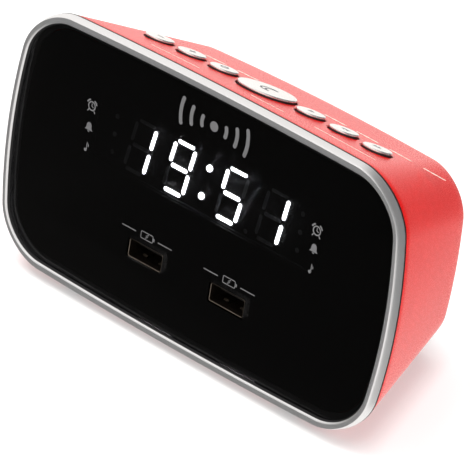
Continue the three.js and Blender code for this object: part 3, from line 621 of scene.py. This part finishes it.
SHEET = 0.3  # thickness of the shell
SPRING = ((-0.8, 0), (0.8, 0), (0.8, 0.28), (-0.8, 0.28))  # section of a contact spring
for side, box in zip(("left", "right"), sockets):
    x, z = middle(box[0]), middle(box[2])
    wide, high = extent(box[0]), extent(box[2])
    front, rear = box[1]
    here = on_face(x, z)

    def sleeve(inset, y, r):
        return [here(u, v, y) for u, v in rounded(wide - 2 * inset, high - 2 * inset, r)]

    shell = Shape().loft([
        sleeve(0.08, front, 0.6), sleeve(0, front + 0.08, 0.65), sleeve(0, rear, 0.65),
        sleeve(SHEET, rear, 0.4), sleeve(SHEET, front + 0.1, 0.4), sleeve(0.22, front, 0.45),
    ], closed=True)
    springs, slots = Shape(), []
    for k in (-1, 1):
        for u in (-3.1, 3.1):
            v = k * high / 2
            slot_hole = [(u - 1.15, v - 1), (u + 1.15, v - 1), (u + 1.15, v + 1), (u - 1.15, v + 1)]
            slots.append(Shape().prism(slot_hole, here, front + 3.2, front + 8.4))
            rows = []
            for y, dip in ((3.5, 0.12), (4.0, 0.5), (6.2, 0.42), (8.5, 0.0)):
                rows.append(([(u + a, k * (high / 2 - dip - b)) for a, b in SPRING], here, front + y))
            springs.sections(rows)
    combined(shell, f"socket_shell_{side}", socket_steel, (), slots,
             slot="steel", stands_for=[f"usb_shell_{side}"])
    piece(springs, f"socket_springs_{side}", socket_steel, slot="steel")

    tongue = span(f"usb_tongue_{side}")
    tip, root = tongue[1]
    thick = 1.84
    top = z + high / 2 - SHEET - 0.65
    bottom = top - thick
    bar = on_face(x, top - thick / 2)
    insert = Shape().sections([
        (rounded(11.1 - 0.7, thick - 0.6, 0.25), bar, tip), (rounded(11.1, thick, 0.25), bar, tip + 0.35),
        (rounded(11.1, thick, 0.25), bar, root - 1.4),
    ])
    back = Shape().prism(rounded(extent(tongue[0]), extent(tongue[2]), 0.2), here, root - 1.5, root)
    combined(insert, f"socket_insert_{side}", socket_insert, [back],
             slot="socket_insert", stands_for=[f"usb_tongue_{side}"])
    contacts = Shape()
    for u, reach in ((-3.5, 0.5), (-1.0, 1.2), (1.0, 1.2), (3.5, 0.5)):
        leaf = [(tip + reach, 0.06), (tip + reach + 0.5, 0.2), (tip + 5.0, 0.2), (root - 1.5, 0.1)]
        contacts.sections([
            ([(u - 0.55, 0.02), (u + 0.55, 0.02), (u + 0.55, 0.02 - d), (u - 0.55, 0.02 - d)],
             on_face(x, bottom), y) for y, d in leaf])
    piece(contacts, f"socket_contacts_{side}", gilt, slot="gilt")

# ---- Case ----------------------------------------------------------------------------------------

FLANGE = 1.2  # how far a button widens below the case
CASE_FRONT, REAR_ROUND = 2.02, 1.5
buttons = []
for name in ("button_1", "button_2", "button_3", "snooze_button", "button_4", "button_5", "button_6"):
    across = span(name)[0]
    buttons.append((name, middle(across), extent(across) / 2 - FLANGE))

stations = [2.3 + (BODY_DEPTH - REAR_ROUND - 2.3) * i / 15 for i in range(16)]
rings = [at(grow(outer_at(CASE_FRONT), -0.2), CASE_FRONT), at(grow(outer_at(2.12), -0.05), 2.12)]
rings += [at(outer_at(y), y) for y in stations]
for i in range(1, 6):
    turn = math.pi / 2 * i / 5
    y = BODY_DEPTH - REAR_ROUND + REAR_ROUND * math.sin(turn)
    rings.append(at(grow(outer_at(y), -1.35 * (1 - math.cos(turn))), y))
rear_inner = inner_at(BODY_DEPTH)
rings += [at(grow(rear_inner, 0.12), BODY_DEPTH), at(rear_inner, BODY_DEPTH - 0.15)]
rings += [at(inner_at(y), y) for y in [*reversed(stations), CASE_FRONT]]
case = Shape().loft(rings, closed=True)

cover = span("rear_cover")
cover_screws = [(i, span(f"cover_screw_{i}")) for i in (1, 2, 3, 4)]
FEET = ("foot_front_left", "foot_front_right", "foot_rear_left", "foot_rear_right")
joined, cutters = [], []
for _, x, radius in buttons:
    rim = radius + 0.4
    cutters.append(Shape().lathe(
        [(0, -5), (rim, -5), (rim, -0.4), (rim + 0.05, -0.18), (rim + 0.2, -0.04), (rim + 0.42, 0.04),
         (rim + 0.42, 4), (0, 4)], on_top(x), 64))
for name in ("left", "right"):
    x = middle(span(f"key_screw_{name}")[0])
    place, under = on_top(x, 0), -sink_at(x)
    joined.append(Shape().rod(POST_RADIUS, -9.7, under - 2.0, place, 24))
    cutters.append(Shape().rod(SCREW_HOLE, -11, under - 3.2, place, 20))
BOSS_END = 45.9  # of the four screw bosses at the rear
for _, box in cover_screws:
    x, z = middle(box[0]), middle(box[2])
    joined.append(Shape().rod(3.5, 35, BOSS_END, on_face(x, z), 24))
    wall_x = math.copysign(outer_at(BOSS_END)["w"] - 1.3, x)
    web = [(x, z - 1), (wall_x, z - 1), (wall_x, z + 1), (x, z + 1)]
    joined.append(Shape().prism(web, on_face(0, 0), 37, BOSS_END))
    cutters.append(Shape().rod(SCREW_HOLE, 36, 47, on_face(x, z), 20))
for name in FEET:
    x, y, _ = map(middle, level_box(name))
    cutters.append(Shape().rod(4.8, -2, 3.2, level(x, y), 32))
board_under = level_box("main_pcb")[2][0] - CLEAR
for i in (1, 2):
    x, y, _ = map(middle, level_box(f"board_screw_{i}"))
    joined.append(Shape().rod(POST_RADIUS, 2.6, board_under, level(x, y), 24))
    cutters.append(Shape().rod(SCREW_HOLE, 4.2, board_under + 1, level(x, y), 20))
combined(case, "case_shell", red_case, joined, cutters,
         slot="red_case", stands_for=["housing_shell"], angle=24)

# Lines in front of the buttons, and three dashes behind each of them.
marks = Shape()
SKIN = (0.01, 0.06)
LABEL_Y = 31.0
for start, end, y in ((6.2, 18.4, 8.6), (28.4, 50.5, 10.2), (-32.5, -14.5, 9.4)):
    run = [start + (end - start) * k / 12 for k in range(13)]
    marks.stroke([(x, y) for x in run], 0.42, on_skin, *SKIN)
for _, x, radius in buttons:
    x += radius + 5.4
    for start, end, width in ((0, 2.0, 0.8), (3.0, 4.2, 1.1), (5.2, 7.4, 0.8)):
        marks.stroke([(x + start, LABEL_Y), (x + end, LABEL_Y)], width, on_skin, *SKIN)
piece(marks, "case_marks", case_print, slot="window_print")

# ---- Buttons -------------------------------------------------------------------------------------

CAP_BASE = 0.42  # underside of the silver cap, above the case
CAP_EDGE = 0.26  # radius of its rounded edge
FLANGE_LOW, FLANGE_HIGH = -4.0, -3.0


def cap_height(r, radius):
    """Height of the domed cap at a distance from its middle."""
    return 1.1 - 0.12 * (r / radius) ** 2


def line(*path):
    return path, 0.42


# What is printed on each cap: (path, width) for a line, (polygon, None) for a filled shape.
dash = line((-1.0, 0), (1.0, 0))
SYMBOLS = (
    [dash],
    [dash, line((0, 0.3), (0, 1.0)), line((0, -0.3), (0, -1.0))],
    [(arc(1.1, 125, 415, 20), 0.38), ([(0, 0.6), (0, 1.5)], 0.38)],
    [(arc(2.6, 60, 300, 26, 0.6, 0), 0.5), (arc(2.3, 92, 268, 22, 2.0, 0), 0.5)],
    [([(-0.7, -0.95), (1.0, 0), (-0.7, 0.95)], None)],
    [([(0.2, -0.85), (0.2, 0.85), (-1.1, 0)], None), ([(1.5, -0.85), (1.5, 0.85), (0.3, 0)], None)],
    [([(-0.2, -0.85), (1.1, 0), (-0.2, 0.85)], None), ([(-1.5, -0.85), (-0.3, 0), (-1.5, 0.85)], None)],
)
CAP_INK = (0.005, 0.04)
top_normal = AXIS_Y * math.sin(SLOPE) + AXIS_Z * math.cos(SLOPE)
surface = ROW_Y * math.sin(SLOPE) + top_surface(0, ROW_Y) * math.cos(SLOPE)
for (name, x, radius), symbol in zip(buttons, SYMBOLS):
    place = on_top(x)
    base = min((v.co - ORIGIN).dot(top_normal) * 1000 for v in nodes[name].data.vertices)
    stem = base - surface + sink_at(x)
    flange, neck = radius + FLANGE, radius - 0.1
    piece(Shape().lathe([
        (0, stem), (1.35, stem), (1.6, stem + 0.25), (1.6, FLANGE_LOW), (flange - 0.1, FLANGE_LOW),
        (flange, FLANGE_LOW + 0.1), (flange, FLANGE_HIGH - 0.1), (flange - 0.1, FLANGE_HIGH),
        (neck, FLANGE_HIGH), (neck, CAP_BASE - 0.02), (0, CAP_BASE - 0.02),
    ], place, 64), name + "_stem", black_plastic, body=name, slot="black_plastic", stands_for=[name])
    profile = [(0, CAP_BASE), (radius - 0.06, CAP_BASE), (radius, CAP_BASE + 0.06),
               (radius, cap_height(radius, radius) - CAP_EDGE)]
    for i in range(1, 6):
        turn = math.pi / 2 * i / 5
        r = radius - CAP_EDGE * (1 - math.cos(turn))
        profile.append((r, cap_height(r, radius) - CAP_EDGE * (1 - math.sin(turn))))
    for share in (0.8, 0.6, 0.4, 0.2, 0):
        profile.append((radius * share, cap_height(radius * share, radius)))
    piece(Shape().lathe(profile, place, 72), name + "_cap", silver_buttons, body=name,
          slot="silver_buttons", stands_for=[name])

    def on_cap(u, v, h, place=place, radius=radius):
        return place(u, v, cap_height(math.hypot(u, v), radius) + h)

    mark = Shape()
    for points, width in symbol:
        if width:
            mark.stroke(points, width, on_cap, *CAP_INK)
        else:
            mark.prism(points, on_cap, *CAP_INK)
    piece(mark, name + "_mark", button_print, body=name, slot="silver_buttons")

# ---- Rear cover ----------------------------------------------------------------------------------

cover_front, cover_rear = cover[1]
edge_outline = grow(rear_inner, -CLEAR)
panel = Shape().loft([
    at(edge_outline, cover_front), at(edge_outline, cover_rear - 0.35),
    at(grow(edge_outline, -0.1), cover_rear - 0.1), at(grow(edge_outline, -0.35), cover_rear),
])
speaker = span("speaker_frame")
SX, SZ, SR = middle(speaker[0]), middle(speaker[2]), extent(speaker[0]) / 2
panel_cuts = []


def through(polygon, x, z, low=cover_front - 1):
    panel_cuts.append(Shape().prism(polygon, on_face(x, z), low, cover_rear + 1))


# Grille: rows of two slots, each as long as the round field allows.
for row in range(-4, 5):
    v = row * 4.0
    half = math.sqrt((SR - 3) ** 2 - v ** 2)  # half the field's width in this row
    for side in (-1, 1):
        through(rounded(half - 1.0, 2.0, 0.99, 8, side * (1.0 + half) / 2, v), SX, SZ)
grommet = span("antenna_grommet")
GX, GZ = middle(grommet[0]), middle(grommet[2])
through(disc(3.0, steps=40), GX, GZ)
hatch = span("battery_door")
HX, HZ, HW, HH = middle(hatch[0]), middle(hatch[2]), extent(hatch[0]), extent(hatch[2])
through(rounded(HW + 2 * CLEAR, HH + 2 * CLEAR, 0.8), HX, HZ)
pin_low, pin_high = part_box("dc_pin")
jack = Vector(((pin_low.x + pin_high.x) / 2, pin_high.y, (pin_low.z + pin_high.z) / 2))


def along_jack(u, v, h):
    """Level frame on the power inlet's axis, with h towards the rear from the pin's tip."""
    return jack + Vector((u, h, v)) * 0.001


panel_cuts.append(Shape().prism(disc(4.8, steps=48), along_jack, -9, 9))
for _, box in cover_screws:
    x, z = middle(box[0]), middle(box[2])
    through(disc(SCREW_HOLE, steps=24), x, z)
    through(disc(3.1, steps=40), x, z, cover_rear - 1.0)
combined(panel, "rear_panel", black_plastic, (), panel_cuts,
         slot="black_plastic", stands_for=["rear_cover"], angle=24)

for i, box in cover_screws:
    here, top = on_face(middle(box[0]), middle(box[2])), box[1][1]
    base = top - 1.2
    screw = Shape().lathe([
        (0, base - 9.5), (0.5, base - 9.5), (1.2, base - 8.4), (1.2, base), (2.7, base), (2.8, base + 0.1),
        (2.8, top - 0.55), (2.62, top - 0.25), (2.2, top - 0.06), (1.6, top), (0, top),
    ], here, 40)
    slots = []
    for polygon in (rounded(3.5, 0.75, 0.2, 3), rounded(0.75, 3.5, 0.2, 3)):
        floor_polygon = [(u * 0.72, v * 0.72) for u, v in polygon]
        slots.append(Shape().sections([(floor_polygon, here, top - 0.8), (polygon, here, top + 0.2)]))
    combined(screw, f"cover_screw_{i}_fine", steel, (), slots,
             slot="steel", stands_for=[f"cover_screw_{i}"])

# Battery hatch: eased plate with a thumb notch and grip ribs.
top = hatch[1][1]
here = on_face(HX, HZ)
lid = Shape().sections([
    (rounded(HW - 2 * k, HH - 2 * k, 0.7), here, y)
    for y, k in ((hatch[1][0], 0.0), (top - 0.25, 0.0), (top - 0.06, 0.07), (top, 0.25))])
notch = [Shape().prism(disc(3.4, 0, HH / 2 - 0.4, 40), here, top - 0.8, top + 1)]
for k in range(3):
    rib = rounded(9 - 2 * k, 0.55, 0.26, 4, 0, HH / 2 - 5.6 - 1.3 * k)
    notch.append(Shape().prism(rib, here, top - 0.35, top + 1))
combined(lid, "battery_hatch", black_plastic, (), notch, body="battery_door",
         slot="black_plastic", stands_for=["battery_door"], angle=24)

cell = span("backup_cell")
front, rear = cell[1]
piece(Shape().lathe([
    (0, front), (8.5, front), (8.8, front + 0.2), (8.8, front + 0.6), (9.6, front + 0.65),
    (9.95, front + 0.9), (10.0, front + 1.3), (10.0, rear - 0.35), (9.85, rear - 0.1), (9.5, rear),
    (7.0, rear), (6.9, rear - 0.06), (0, rear - 0.06),
], on_face(middle(cell[0]), middle(cell[2])), 64), "button_cell", steel, slot="steel",
    stands_for=["backup_cell"])

# Loudspeaker, seen through the slots.
frame_front, frame_rear = speaker[1]
basket = [
    (7.0, frame_front), (11, frame_front), (SR - 2.4, frame_rear - 1.5), (SR - 0.2, frame_rear - 1.25),
    (SR, frame_rear - 1.0), (SR, frame_rear - 0.15), (SR - 0.15, frame_rear), (SR - 1.2, frame_rear),
    (SR - 1.3, frame_rear - 0.15), (SR - 2.0, frame_rear - 0.15), (SR - 2.2, frame_rear - 0.3),
    (10.4, frame_front + 1), (7.0, frame_front + 1),
]
piece(Shape().lathe(basket, on_face(SX, SZ), 72), "speaker_basket", steel, slot="steel",
      stands_for=["speaker_frame"])
cone = span("speaker_cone")
cone_front, rim = cone[1]
edge = extent(cone[0]) / 2
neck = frame_front + 3.2
TUBE = 5.4  # outer radius of the voice coil's tube
roll = edge - 1.3  # where the paper meets its rolled rim
profile = [
    (0, neck), (4.7, neck), (4.7, cone_front), (TUBE, cone_front), (TUBE, neck), (edge - 0.8, rim - 0.6),
    (edge, rim - 0.6), (edge, rim - 0.2), (edge - 0.2, rim), (edge - 0.9, rim), (roll, rim - 0.3),
]
for k in range(1, 6):
    r = roll - (roll - 6.4) * k / 6
    height = rim - 0.3 + (neck + 1.3 - rim + 0.3) * (roll - r) / (roll - TUBE)
    profile += [(r + 0.25, height - 0.12), (r, height + 0.1)]
profile += [(TUBE, neck + 1.2), (5.2, neck + 1.9), (4.0, neck + 2.6), (2.2, neck + 2.85), (0, neck + 2.9)]
profile = [(r, min(h, rim)) for r, h in profile]
piece(Shape().lathe(profile, on_face(SX, SZ), 64), "paper_cone", paper_cone, body="speaker_cone",
      slot="paper_cone", stands_for=["speaker_cone"])
magnet = span("speaker_magnet")
front, rear = magnet[1]
piece(Shape().lathe([
    (0, front), (12.1, front), (12.5, front + 0.4), (12.5, rear - 1.6), (12.2, rear - 1.5),
    (12.2, rear - 0.1), (12.0, rear), (6.2, rear), (6.2, rear - 3.7), (4, rear - 3.7), (4, rear - 0.15),
    (3.85, rear), (0, rear),
], on_face(SX, SZ), 64), "magnet_pot", ferrite, slot="ferrite", stands_for=["speaker_magnet"])

# ---- Power inlet and aerial grommet --------------------------------------------------------------

low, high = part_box("dc_jack")
to_end, back = (high.y - jack.y) * 1000, (low.y - jack.y) * 1000
bottom, top = (low.z - jack.z) * 1000, (high.z - jack.z) * 1000
half = (high.x - low.x) * 500
block_rear = to_end - 2.4


def jack_ring(k, h):
    polygon = rounded(2 * (half - k), top - bottom - 2 * k, 0.5, 4, 0, (top + bottom) / 2)
    return polygon, along_jack, h


jack_block = Shape().sections([
    jack_ring(0.2, back), jack_ring(0, back + 0.2), jack_ring(0, block_rear - 0.2),
    jack_ring(0.2, block_rear)])
nozzle = Shape().lathe([
    (0, block_rear - 1), (4.0, block_rear - 1), (4.0, to_end - 0.25), (3.75, to_end), (0, to_end),
], along_jack, 56)
bore = Shape().lathe([
    (0, to_end - 11.4), (3.2, to_end - 11.4), (3.2, to_end - 0.2), (3.45, to_end + 0.05),
    (3.45, to_end + 1), (0, to_end + 1),
], along_jack, 56)
combined(jack_block, "power_inlet", black_plastic, [nozzle], [bore],
         slot="black_plastic", stands_for=["dc_jack"])
length = (pin_high.y - pin_low.y) * 1000
pin = Shape().lathe(
    [(0, -length), (1.0, -length), (1.0, -0.6), (0.85, -0.2), (0.5, 0), (0, 0)], along_jack, 32)
piece(pin, "power_pin", steel, slot="steel", stands_for=["dc_pin"])

g0, g1 = grommet[1]
lip = extent(grommet[0]) / 2
piece(Shape().lathe([
    (1.0, g0), (lip - 0.2, g0), (lip, g0 + 0.2), (lip, g0 + 0.8), (2.7, g0 + 0.8), (2.7, cover_rear + 0.2),
    (lip, cover_rear + 0.2), (lip - 0.05, g1 - 0.15), (lip - 0.35, g1), (1.25, g1), (1.0, g1 - 0.2),
], on_face(GX, GZ), 48), "aerial_grommet", rubber, slot="rubber", stands_for=["antenna_grommet"])

# ---- Feet ----------------------------------------------------------------------------------------

for name in FEET:
    foot = level_box(name)
    x, y, top = middle(foot[0]), middle(foot[1]), foot[2][1]
    piece(Shape().lathe([
        (0, 0.25), (2.4, 0.25), (2.6, 0.05), (2.8, 0), (4.1, 0), (4.4, 0.12), (4.5, 0.4), (4.5, top - 0.1),
        (4.4, top), (0, top),
    ], level(x, y), 56), name + "_pad", rubber, slot="rubber", stands_for=[name])

# ---- Boards and what stands on them --------------------------------------------------------------

for i in (1, 2):
    can = level_box(f"capacitor_{i}")
    low, high = can[2]
    piece(Shape().lathe([
        (0, low), (2.7, low), (3.0, low + 0.3), (3.0, low + 0.9), (2.8, low + 1.15), (3.0, low + 1.4),
        (3.0, high - 0.4), (2.75, high - 0.05), (2.4, high), (2.2, high - 0.15), (0, high - 0.15),
    ], level(middle(can[0]), middle(can[1])), 40), f"capacitor_can_{i}", black_plastic,
        slot="black_plastic", stands_for=[f"capacitor_{i}"])

chip_box = level_box("control_chip")
cx, cy, _ = map(middle, chip_box)
low, high = chip_box[2]
wide, deep = extent(chip_box[0]), extent(chip_box[1]) - 1.6
here = level(cx, cy)
chip = Shape().sections([
    (rounded(wide - 2 * k, deep - 2 * k, 0.2, 3), here, h)
    for h, k in ((low + 0.25, 0.15), ((low + high) / 2, 0), (high, 0.15))])
first_pin = Shape().rod(0.4, high - 0.1, high + 1, level(cx - wide / 2 + 1.1, cy - deep / 2 + 1.1), 20)
combined(chip, "chip_body", black_plastic, (), [first_pin],
         slot="black_plastic", stands_for=["control_chip"])
legs = Shape()
PIN_PITCH = 1.27
LEG = ((-0.2, -0.1), (0.2, -0.1), (0.2, 0.1), (-0.2, 0.1))
for side in (-1, 1):
    for k in range(7):
        u = (k - 3) * PIN_PITCH
        bend = [(-0.1, 0.75), (0.3, 0.75), (0.45, 0.12), (0.8, 0.12)]
        legs.loft([[here(u + a, side * (deep / 2 + v), low + h + b) for a, b in LEG] for v, h in bend])
piece(legs, "chip_legs", steel, slot="steel")

can = level_box("tuner_shield")
tx, ty, _ = map(middle, can)
low, high = can[2]
shield = Shape().sections([
    (rounded(extent(can[0]) - 2 * k, extent(can[1]) - 2 * k, 0.6), level(tx, ty), h)
    for h, k in ((low, 0), (high - 0.4, 0), (high - 0.1, 0.1), (high, 0.4))])
vents = [Shape().rod(0.6, high - 0.5, high + 1, level(tx + a, ty + b), 20)
         for a in (-4.5, 0, 4.5) for b in (-2.8, 2.8)]
combined(shield, "tuner_can", steel, (), vents, slot="steel", stands_for=["tuner_shield"])

for i, (_, x, _) in enumerate(buttons, 1):
    place = on_top(x, 0)
    body = Shape().sections([
        (rounded(6 - 2 * k, 6 - 2 * k, 0.4, 4), place, h)
        for h, k in ((-9.85, 0), (-7.0, 0), (-6.6, 0.15), (-6.5, 0.4))])
    plunger = Shape().lathe([(0, -7), (1.7, -7), (1.7, -5.85), (1.55, -5.7), (0, -5.7)], place, 28)
    rivets = [Shape().prism(disc(0.45, a, b, 16), place, -6.75, -6) for a in (-2.3, 2.3) for b in (-2.3, 2.3)]
    combined(body, f"key_switch_{i}", black_plastic, [plunger], rivets,
             slot="black_plastic", stands_for=[f"switch_{i}"])

# Parts that keep the CAD mesh.
carried = {
    "display_pcb": pcb_green, "key_pcb": pcb_green, "main_pcb": pcb_green, "battery_holder": black_plastic,
    "display_screw_left": steel, "display_screw_right": steel, "key_screw_left": steel,
    "key_screw_right": steel, "board_screw_1": steel, "board_screw_2": steel,
}
for name, material in carried.items():
    for slot in nodes[name].material_slots:
        slot.material = material

# ---- Stage ---------------------------------------------------------------------------------------

def stage_object(name, points, faces, material):
    mesh = bpy.data.meshes.new(name)
    mesh.from_pydata(points, [], faces)
    mesh.materials.append(material)
    obj = bpy.data.objects.new(name, mesh)
    bpy.context.scene.collection.objects.link(obj)
    obj.visible_glossy = False
    obj.visible_transmission = False
    return obj


def white(name, albedo, glow):
    return finish(name, (albedo, albedo, albedo, 1), 0.9, shade=0.004, bump=0.0,
                  Emission_Color=(1, 1, 1, 1), Emission_Strength=glow)


# Overlit floor with a painted contact shadow: ambient occlusion dims its glow close to the part.
FLOOR_HALF, FLOOR_GLOW = 6.0, 0.70
floor_white = white("floor_white", 0.50, FLOOR_GLOW)
tree = floor_white.node_tree
painted_shadow_ao = tree.nodes.new("ShaderNodeAmbientOcclusion")
painted_shadow_ao.samples = 16
painted_shadow_ao.inputs["Distance"].default_value = 0.011
# Painted shadow: less glow where the part hides the floor within 11 mm.
glow = tree.nodes.new("ShaderNodeMapRange")
map_range(glow, 0.45, 0.95, 0.36, FLOOR_GLOW)
tree.links.new(painted_shadow_ao.outputs["AO"], glow.inputs["Value"])
tree.links.new(glow.outputs["Result"], tree.nodes["Principled BSDF"].inputs["Emission Strength"])
floor = stage_object(
    "floor", [(a * FLOOR_HALF, b * FLOOR_HALF, 0) for a, b in ((-1, -1), (1, -1), (1, 1), (-1, 1))],
    [(0, 1, 2, 3)], floor_white)
floor.location.z = -0.0002  # clear of the feet's undersides

# Pale wall all round, far off: only what the camera sees behind the floor.
WALL_SIDES, WALL_RADIUS = 64, 5.5
turns = [math.tau * i / WALL_SIDES for i in range(WALL_SIDES)]
low_ring, high_ring = (
    [(WALL_RADIUS * math.cos(t), WALL_RADIUS * math.sin(t), z) for t in turns] for z in (-0.01, 7.0))
panels = []
for i in range(WALL_SIDES):
    j = (i + 1) % WALL_SIDES
    panels.append((i, j, WALL_SIDES + j, WALL_SIDES + i))
backdrop = stage_object("backdrop", low_ring + high_ring, panels, white("backdrop_white", 0.9, 0.9))
backdrop.visible_diffuse = False
backdrop.visible_shadow = False

world = bpy.data.worlds.new("studio")
bpy.context.scene.world = world
world.use_nodes = True
tree = world.node_tree
tree.nodes.clear()
add, link = tree.nodes.new, tree.links.new
background, output, where = (
    add("ShaderNodeBackground"), add("ShaderNodeOutputWorld"), add("ShaderNodeTexCoord"))
both = add("ShaderNodeMath")
both.operation = "MULTIPLY"
# A pale studio with two dark sides: (direction, limits of its cosine and of the strength).
for i, (direction, limits) in enumerate((
        ((-0.55, -0.76, -0.34), (0.30, 0.80, 1.15, 0.05)), ((0.70, 0.62, 0.30), (0.10, 0.68, 1.0, 0.01)))):
    facing = add("ShaderNodeVectorMath")
    facing.operation = "DOT_PRODUCT"
    facing.inputs[1].default_value = Vector(direction).normalized()
    fade = add("ShaderNodeMapRange")
    fade.interpolation_type = "SMOOTHSTEP"
    map_range(fade, *limits)
    link(where.outputs["Generated"], facing.inputs[0])
    link(facing.outputs["Value"], fade.inputs["Value"])
    link(fade.outputs["Result"], both.inputs[i])
link(both.outputs["Value"], background.inputs["Strength"])
background.inputs["Color"].default_value = (1, 0.955, 0.92, 1)
link(background.outputs["Background"], output.inputs["Surface"])


def softbox(name, place, size, power):
    light = bpy.data.lights.new(name, "AREA")
    light.shape = "DISK"
    light.size = size
    light.energy = power
    obj = bpy.data.objects.new(name, light)
    bpy.context.scene.collection.objects.link(obj)
    aim = Vector(place) - Vector((0, 0, 0.03))
    obj.rotation_euler = aim.to_track_quat("Z", "Y").to_euler()
    obj.location = place
    obj.visible_glossy = False


softbox("key_light", (-0.45, -0.1, 1.15), 0.8, 9.5)
softbox("fill_light", (1.1, -0.15, 0.6), 0.7, 9)

camera = bpy.data.cameras.new("camera")
camera.lens = 325.5
camera.sensor_width = 36
camera.clip_start, camera.clip_end = 0.01, 20
view = bpy.data.objects.new("camera", camera)
right = Vector((0.7247, 0.6890, 0.0134)).normalized()
ahead = Vector((-0.5679, 0.6081, -0.5547)).normalized()
up = right.cross(ahead).normalized()
right = ahead.cross(up).normalized()
turn = Matrix((right, up, -ahead)).transposed().to_4x4()
view.matrix_world = Matrix.Translation((0.67851, -0.73167, 0.69110)) @ turn
bpy.context.scene.collection.objects.link(view)
bpy.context.scene.camera = view
bpy.context.scene.view_settings.view_transform = "Standard"
